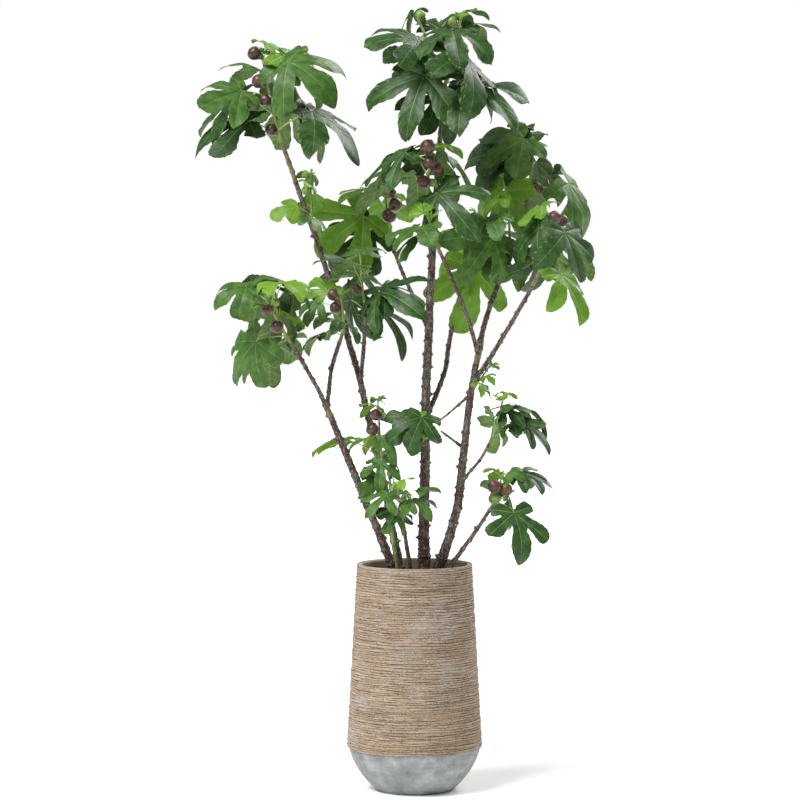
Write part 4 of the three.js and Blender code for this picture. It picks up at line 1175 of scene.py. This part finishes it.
def sleeveFinish(name, tones):
    material, tree, surface = newFinish(name)
    streaks = noise(tree, 11, 4, (0.5, 0.5, 12), 0.62)
    fibres = noise(tree, 70, 4, (0.6, 0.6, 7), 0.7)
    grain = noise(tree, 230, 4, (1, 1, 2), 0.74)
    colour = ramp(tree, streaks, tones)
    for over, pattern, *stops in (
            ("warm", noise(tree, 6, 2, (1, 1, 2.4)), (0.5, 0), (0.7, 0.42)),
            ("dust", noise(tree, 10, 5, (1, 1, 1.5)), (0.52, 0), (0.7, 0.6)),
            ("pale", grain, (0.54, 0), (0.64, 0.65)),
            ("pit", fibres, (0.34, 0.8), (0.44, 0)),
            ("pit", grain, (0.38, 0.75), (0.46, 0))):
        colour = blend(tree, mask(tree, pattern, *stops), colour, sleeve[over])
    dress(tree, surface, colour, 0.86, ((fibres, 0.5, 0.0016), (grain, 0.6, 0.0012)))
    return material


corners, quads, slots = sleeveMesh()
strandMaterials = [sleeveFinish("strand_" + name, sleeve[name])
                   for name in ("light", "plain", "brown", "grooveShade")]
piece = addPiece("woven_sleeve", corners, quads, [], strandMaterials, slots)
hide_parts("pot_sleeve")

concrete = dict(sides=192, dents=0.16, grit=0.25, hidden=14, roughness=0.8,
                lip=((2, 0.6), (0.4, 2.4), (0, 5.5), (0.8, 9), (3, 11.4)),
                stain=shade(104, 104, 102), pit=shade(74, 74, 74),
                foot=((0.3, shade(114, 117, 119)), (0.5, shade(142, 145, 147)),
                      (0.7, shade(172, 175, 177))),
                inside=((0.3, shade(124, 108, 88)), (0.5, shade(150, 134, 112)),
                        (0.7, shade(176, 160, 138))))


def concreteFinish(name, tones):
    material, tree, surface = newFinish(name)
    clouds = noise(tree, 17, 6, rough=0.62)
    grit = noise(tree, 420, 3)
    stains = mask(tree, noise(tree, 26, 5, (1, 1, 2)), (0.55, 0), (0.75, 0.5))
    holes = mask(tree, cells(tree, 85), (0.05, 1), (0.13, 0))
    colour = blend(tree, stains, ramp(tree, clouds, tones), concrete["stain"])
    dress(tree, surface, blend(tree, holes, colour, concrete["pit"]), concrete["roughness"],
          ((grit, 0.2, 0.0006), (clouds, 0.25, 0.003)))
    return material


def potMesh():
    sides, top = concrete["sides"], pot["height"]
    rng = np.random.RandomState(5)
    seam = pot["seamHeight"] - 0.3
    below = pot["soilHeight"] - concrete["hidden"]
    outer = [(h, bowlRadius(h)) for h in seam * np.linspace(0.0, 1, 26) ** 1.4]
    outer[0] = (0.0, outer[0][1] - 2)
    core = [(h, sideRadius(h) - pot["sleeve"] - 0.3) for h in np.linspace(seam, top - 5, 14)]
    lip = core[-1][1]
    rim = [(top - down, lip - inward) for down, inward in concrete["lip"]]
    inside = [(h, sideRadius(h) - pot["sleeve"] - pot["wall"])
              for h in np.linspace(top - 8, below, 8)]
    profile = np.array([(0.0, 0.6), *outer, *core, *rim, *inside, (below, 1.0)])
    heights, radii = (np.repeat(profile[:, k:k + 1], sides, axis=1) for k in (0, 1))
    turn, dents = circle(sides)[None], np.zeros_like(radii)
    for order in (2, 3, 5, 7, 11):
        dents += concrete["dents"] * np.sin(order * turn + heights * 0.045 * order
                                            + rng.rand() * 6)
    body = (heights > 3) & (heights < seam)
    rough = radii - np.abs(dents) - concrete["grit"] * rng.rand(*radii.shape)
    corners, quads, tris = capped(np.where(body, rough, radii), heights, (0.0, below), False)
    slots = np.repeat((np.arange(len(profile) - 1) > len(outer) + 2).astype(int), sides)
    return corners, quads, tris, np.concatenate([slots, np.zeros(sides), np.ones(sides)])


corners, quads, tris, slots = potMesh()
piece = addPiece("pot_casting", corners, quads, tris,
                 [concreteFinish("castFoot", concrete["foot"]),
                  concreteFinish("castInside", concrete["inside"])], slots)
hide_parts("pot_body")

soil = dict(rings=46, sides=110, waves=36, lump=4.2, crumb=1.6, down=3.5, depth=40,
            tones=((0.35, shade(34, 26, 22)), (0.5, shade(58, 45, 37)),
                   (0.7, shade(92, 74, 60))))


def soilMesh():
    rng = np.random.RandomState(23)
    rings, sides, top = soil["rings"], soil["sides"], pot["soilHeight"]
    edge = sideRadius(top) - pot["sleeve"] - pot["wall"] - 0.6
    turn = circle(sides)
    radii = np.repeat((np.linspace(0.02, 1, rings) * edge)[:, None], sides, axis=1)
    x, y = radii * np.cos(turn), radii * np.sin(turn)
    lumps = np.zeros_like(x)
    for _ in range(soil["waves"]):
        angle, wave = rng.rand() * 2 * math.pi, 0.03 + 0.22 * rng.rand()
        lumps += np.sin((x * math.cos(angle) + y * math.sin(angle)) * wave + rng.rand() * 6)
    lumps = lumps / np.abs(lumps).max() * soil["lump"]
    heights = top - soil["down"] + lumps + (rng.rand(rings, sides) - 0.5) * soil["crumb"]
    heights[-1] = top - 4
    bottom = np.full((1, sides), top - soil["depth"])
    return capped(np.concatenate([radii, radii[-1:]]), np.concatenate([heights, bottom]),
                  (heights[0].mean(), top - soil["depth"]), True)


material, tree, surface = newFinish("pottingSoil")
crumbs = noise(tree, 180, 5, rough=0.7)
dress(tree, surface, ramp(tree, crumbs, soil["tones"]), 0.95, ((crumbs, 0.9, 0.003),))
corners, quads, tris = soilMesh()
piece = addPiece("potting_soil", corners, quads, tris, [material])
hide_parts("soil")
print("pot done")


# the studio: pale floor, soft light, camera

studio = dict(floor=shade(246, 246, 245), floorHalf=30, seen=1.0, soft=0.4,
              key=dict(way=(0.5, 0.46, -0.86), strength=3.9, angle=30),
              back=dict(way=(-0.5, -0.62, -0.6), strength=2.4, angle=36))
lens = dict(place=(-0.04, -8.2, 1.475), tilt=2.82, length=135)

mesh = bpy.data.meshes.new("floor")
half = studio["floorHalf"]
mesh.from_pydata([(-half, -half, 0), (half, -half, 0), (half, half, 0), (-half, half, 0)], [],
                 [(0, 1, 2, 3)])
floor = bpy.data.objects.new("floor", mesh)
bpy.context.collection.objects.link(floor)
material, tree, surface = newFinish("paleFloor")
dress(tree, surface, studio["floor"], 0.9)
mesh.materials.append(material)

world = bpy.data.worlds.new("softStudio")
bpy.context.scene.world = world
world.use_nodes = True
tree = world.node_tree
soft = tree.nodes["Background"]
soft.inputs["Strength"].default_value = studio["soft"]
soft.inputs["Color"].default_value = (1, 1, 1, 1)
seen = addNode(tree, "ShaderNodeBackground", Strength=studio["seen"], Color=(1, 1, 1, 1))
rays = addNode(tree, "ShaderNodeLightPath")  # the camera sees white, brighter than its light
tree.links.new(mixShaders(tree, rays.outputs["Is Camera Ray"], soft, seen),
               tree.nodes["World Output"].inputs["Surface"])

for name in ("key", "back"):
    lamp = bpy.data.lights.new(name, "SUN")
    lamp.energy = studio[name]["strength"]
    lamp.angle = studio[name]["angle"] * degree
    thing = bpy.data.objects.new(name, lamp)
    x, y, z = studio[name]["way"]
    thing.rotation_euler = (math.atan2(math.hypot(x, y), -z), 0, math.atan2(y, x) - math.pi / 2)
    bpy.context.collection.objects.link(thing)

camera = bpy.data.objects.new("camera", bpy.data.cameras.new("camera"))
camera.data.lens = lens["length"]
camera.data.sensor_width = 36
camera.data.clip_end = 100
camera.location = lens["place"]
camera.rotation_euler = ((90 - lens["tilt"]) * degree, 0, 0)
bpy.context.collection.objects.link(camera)
bpy.context.scene.camera = camera
bpy.context.scene.view_settings.view_transform = "Standard"
print("studio done")
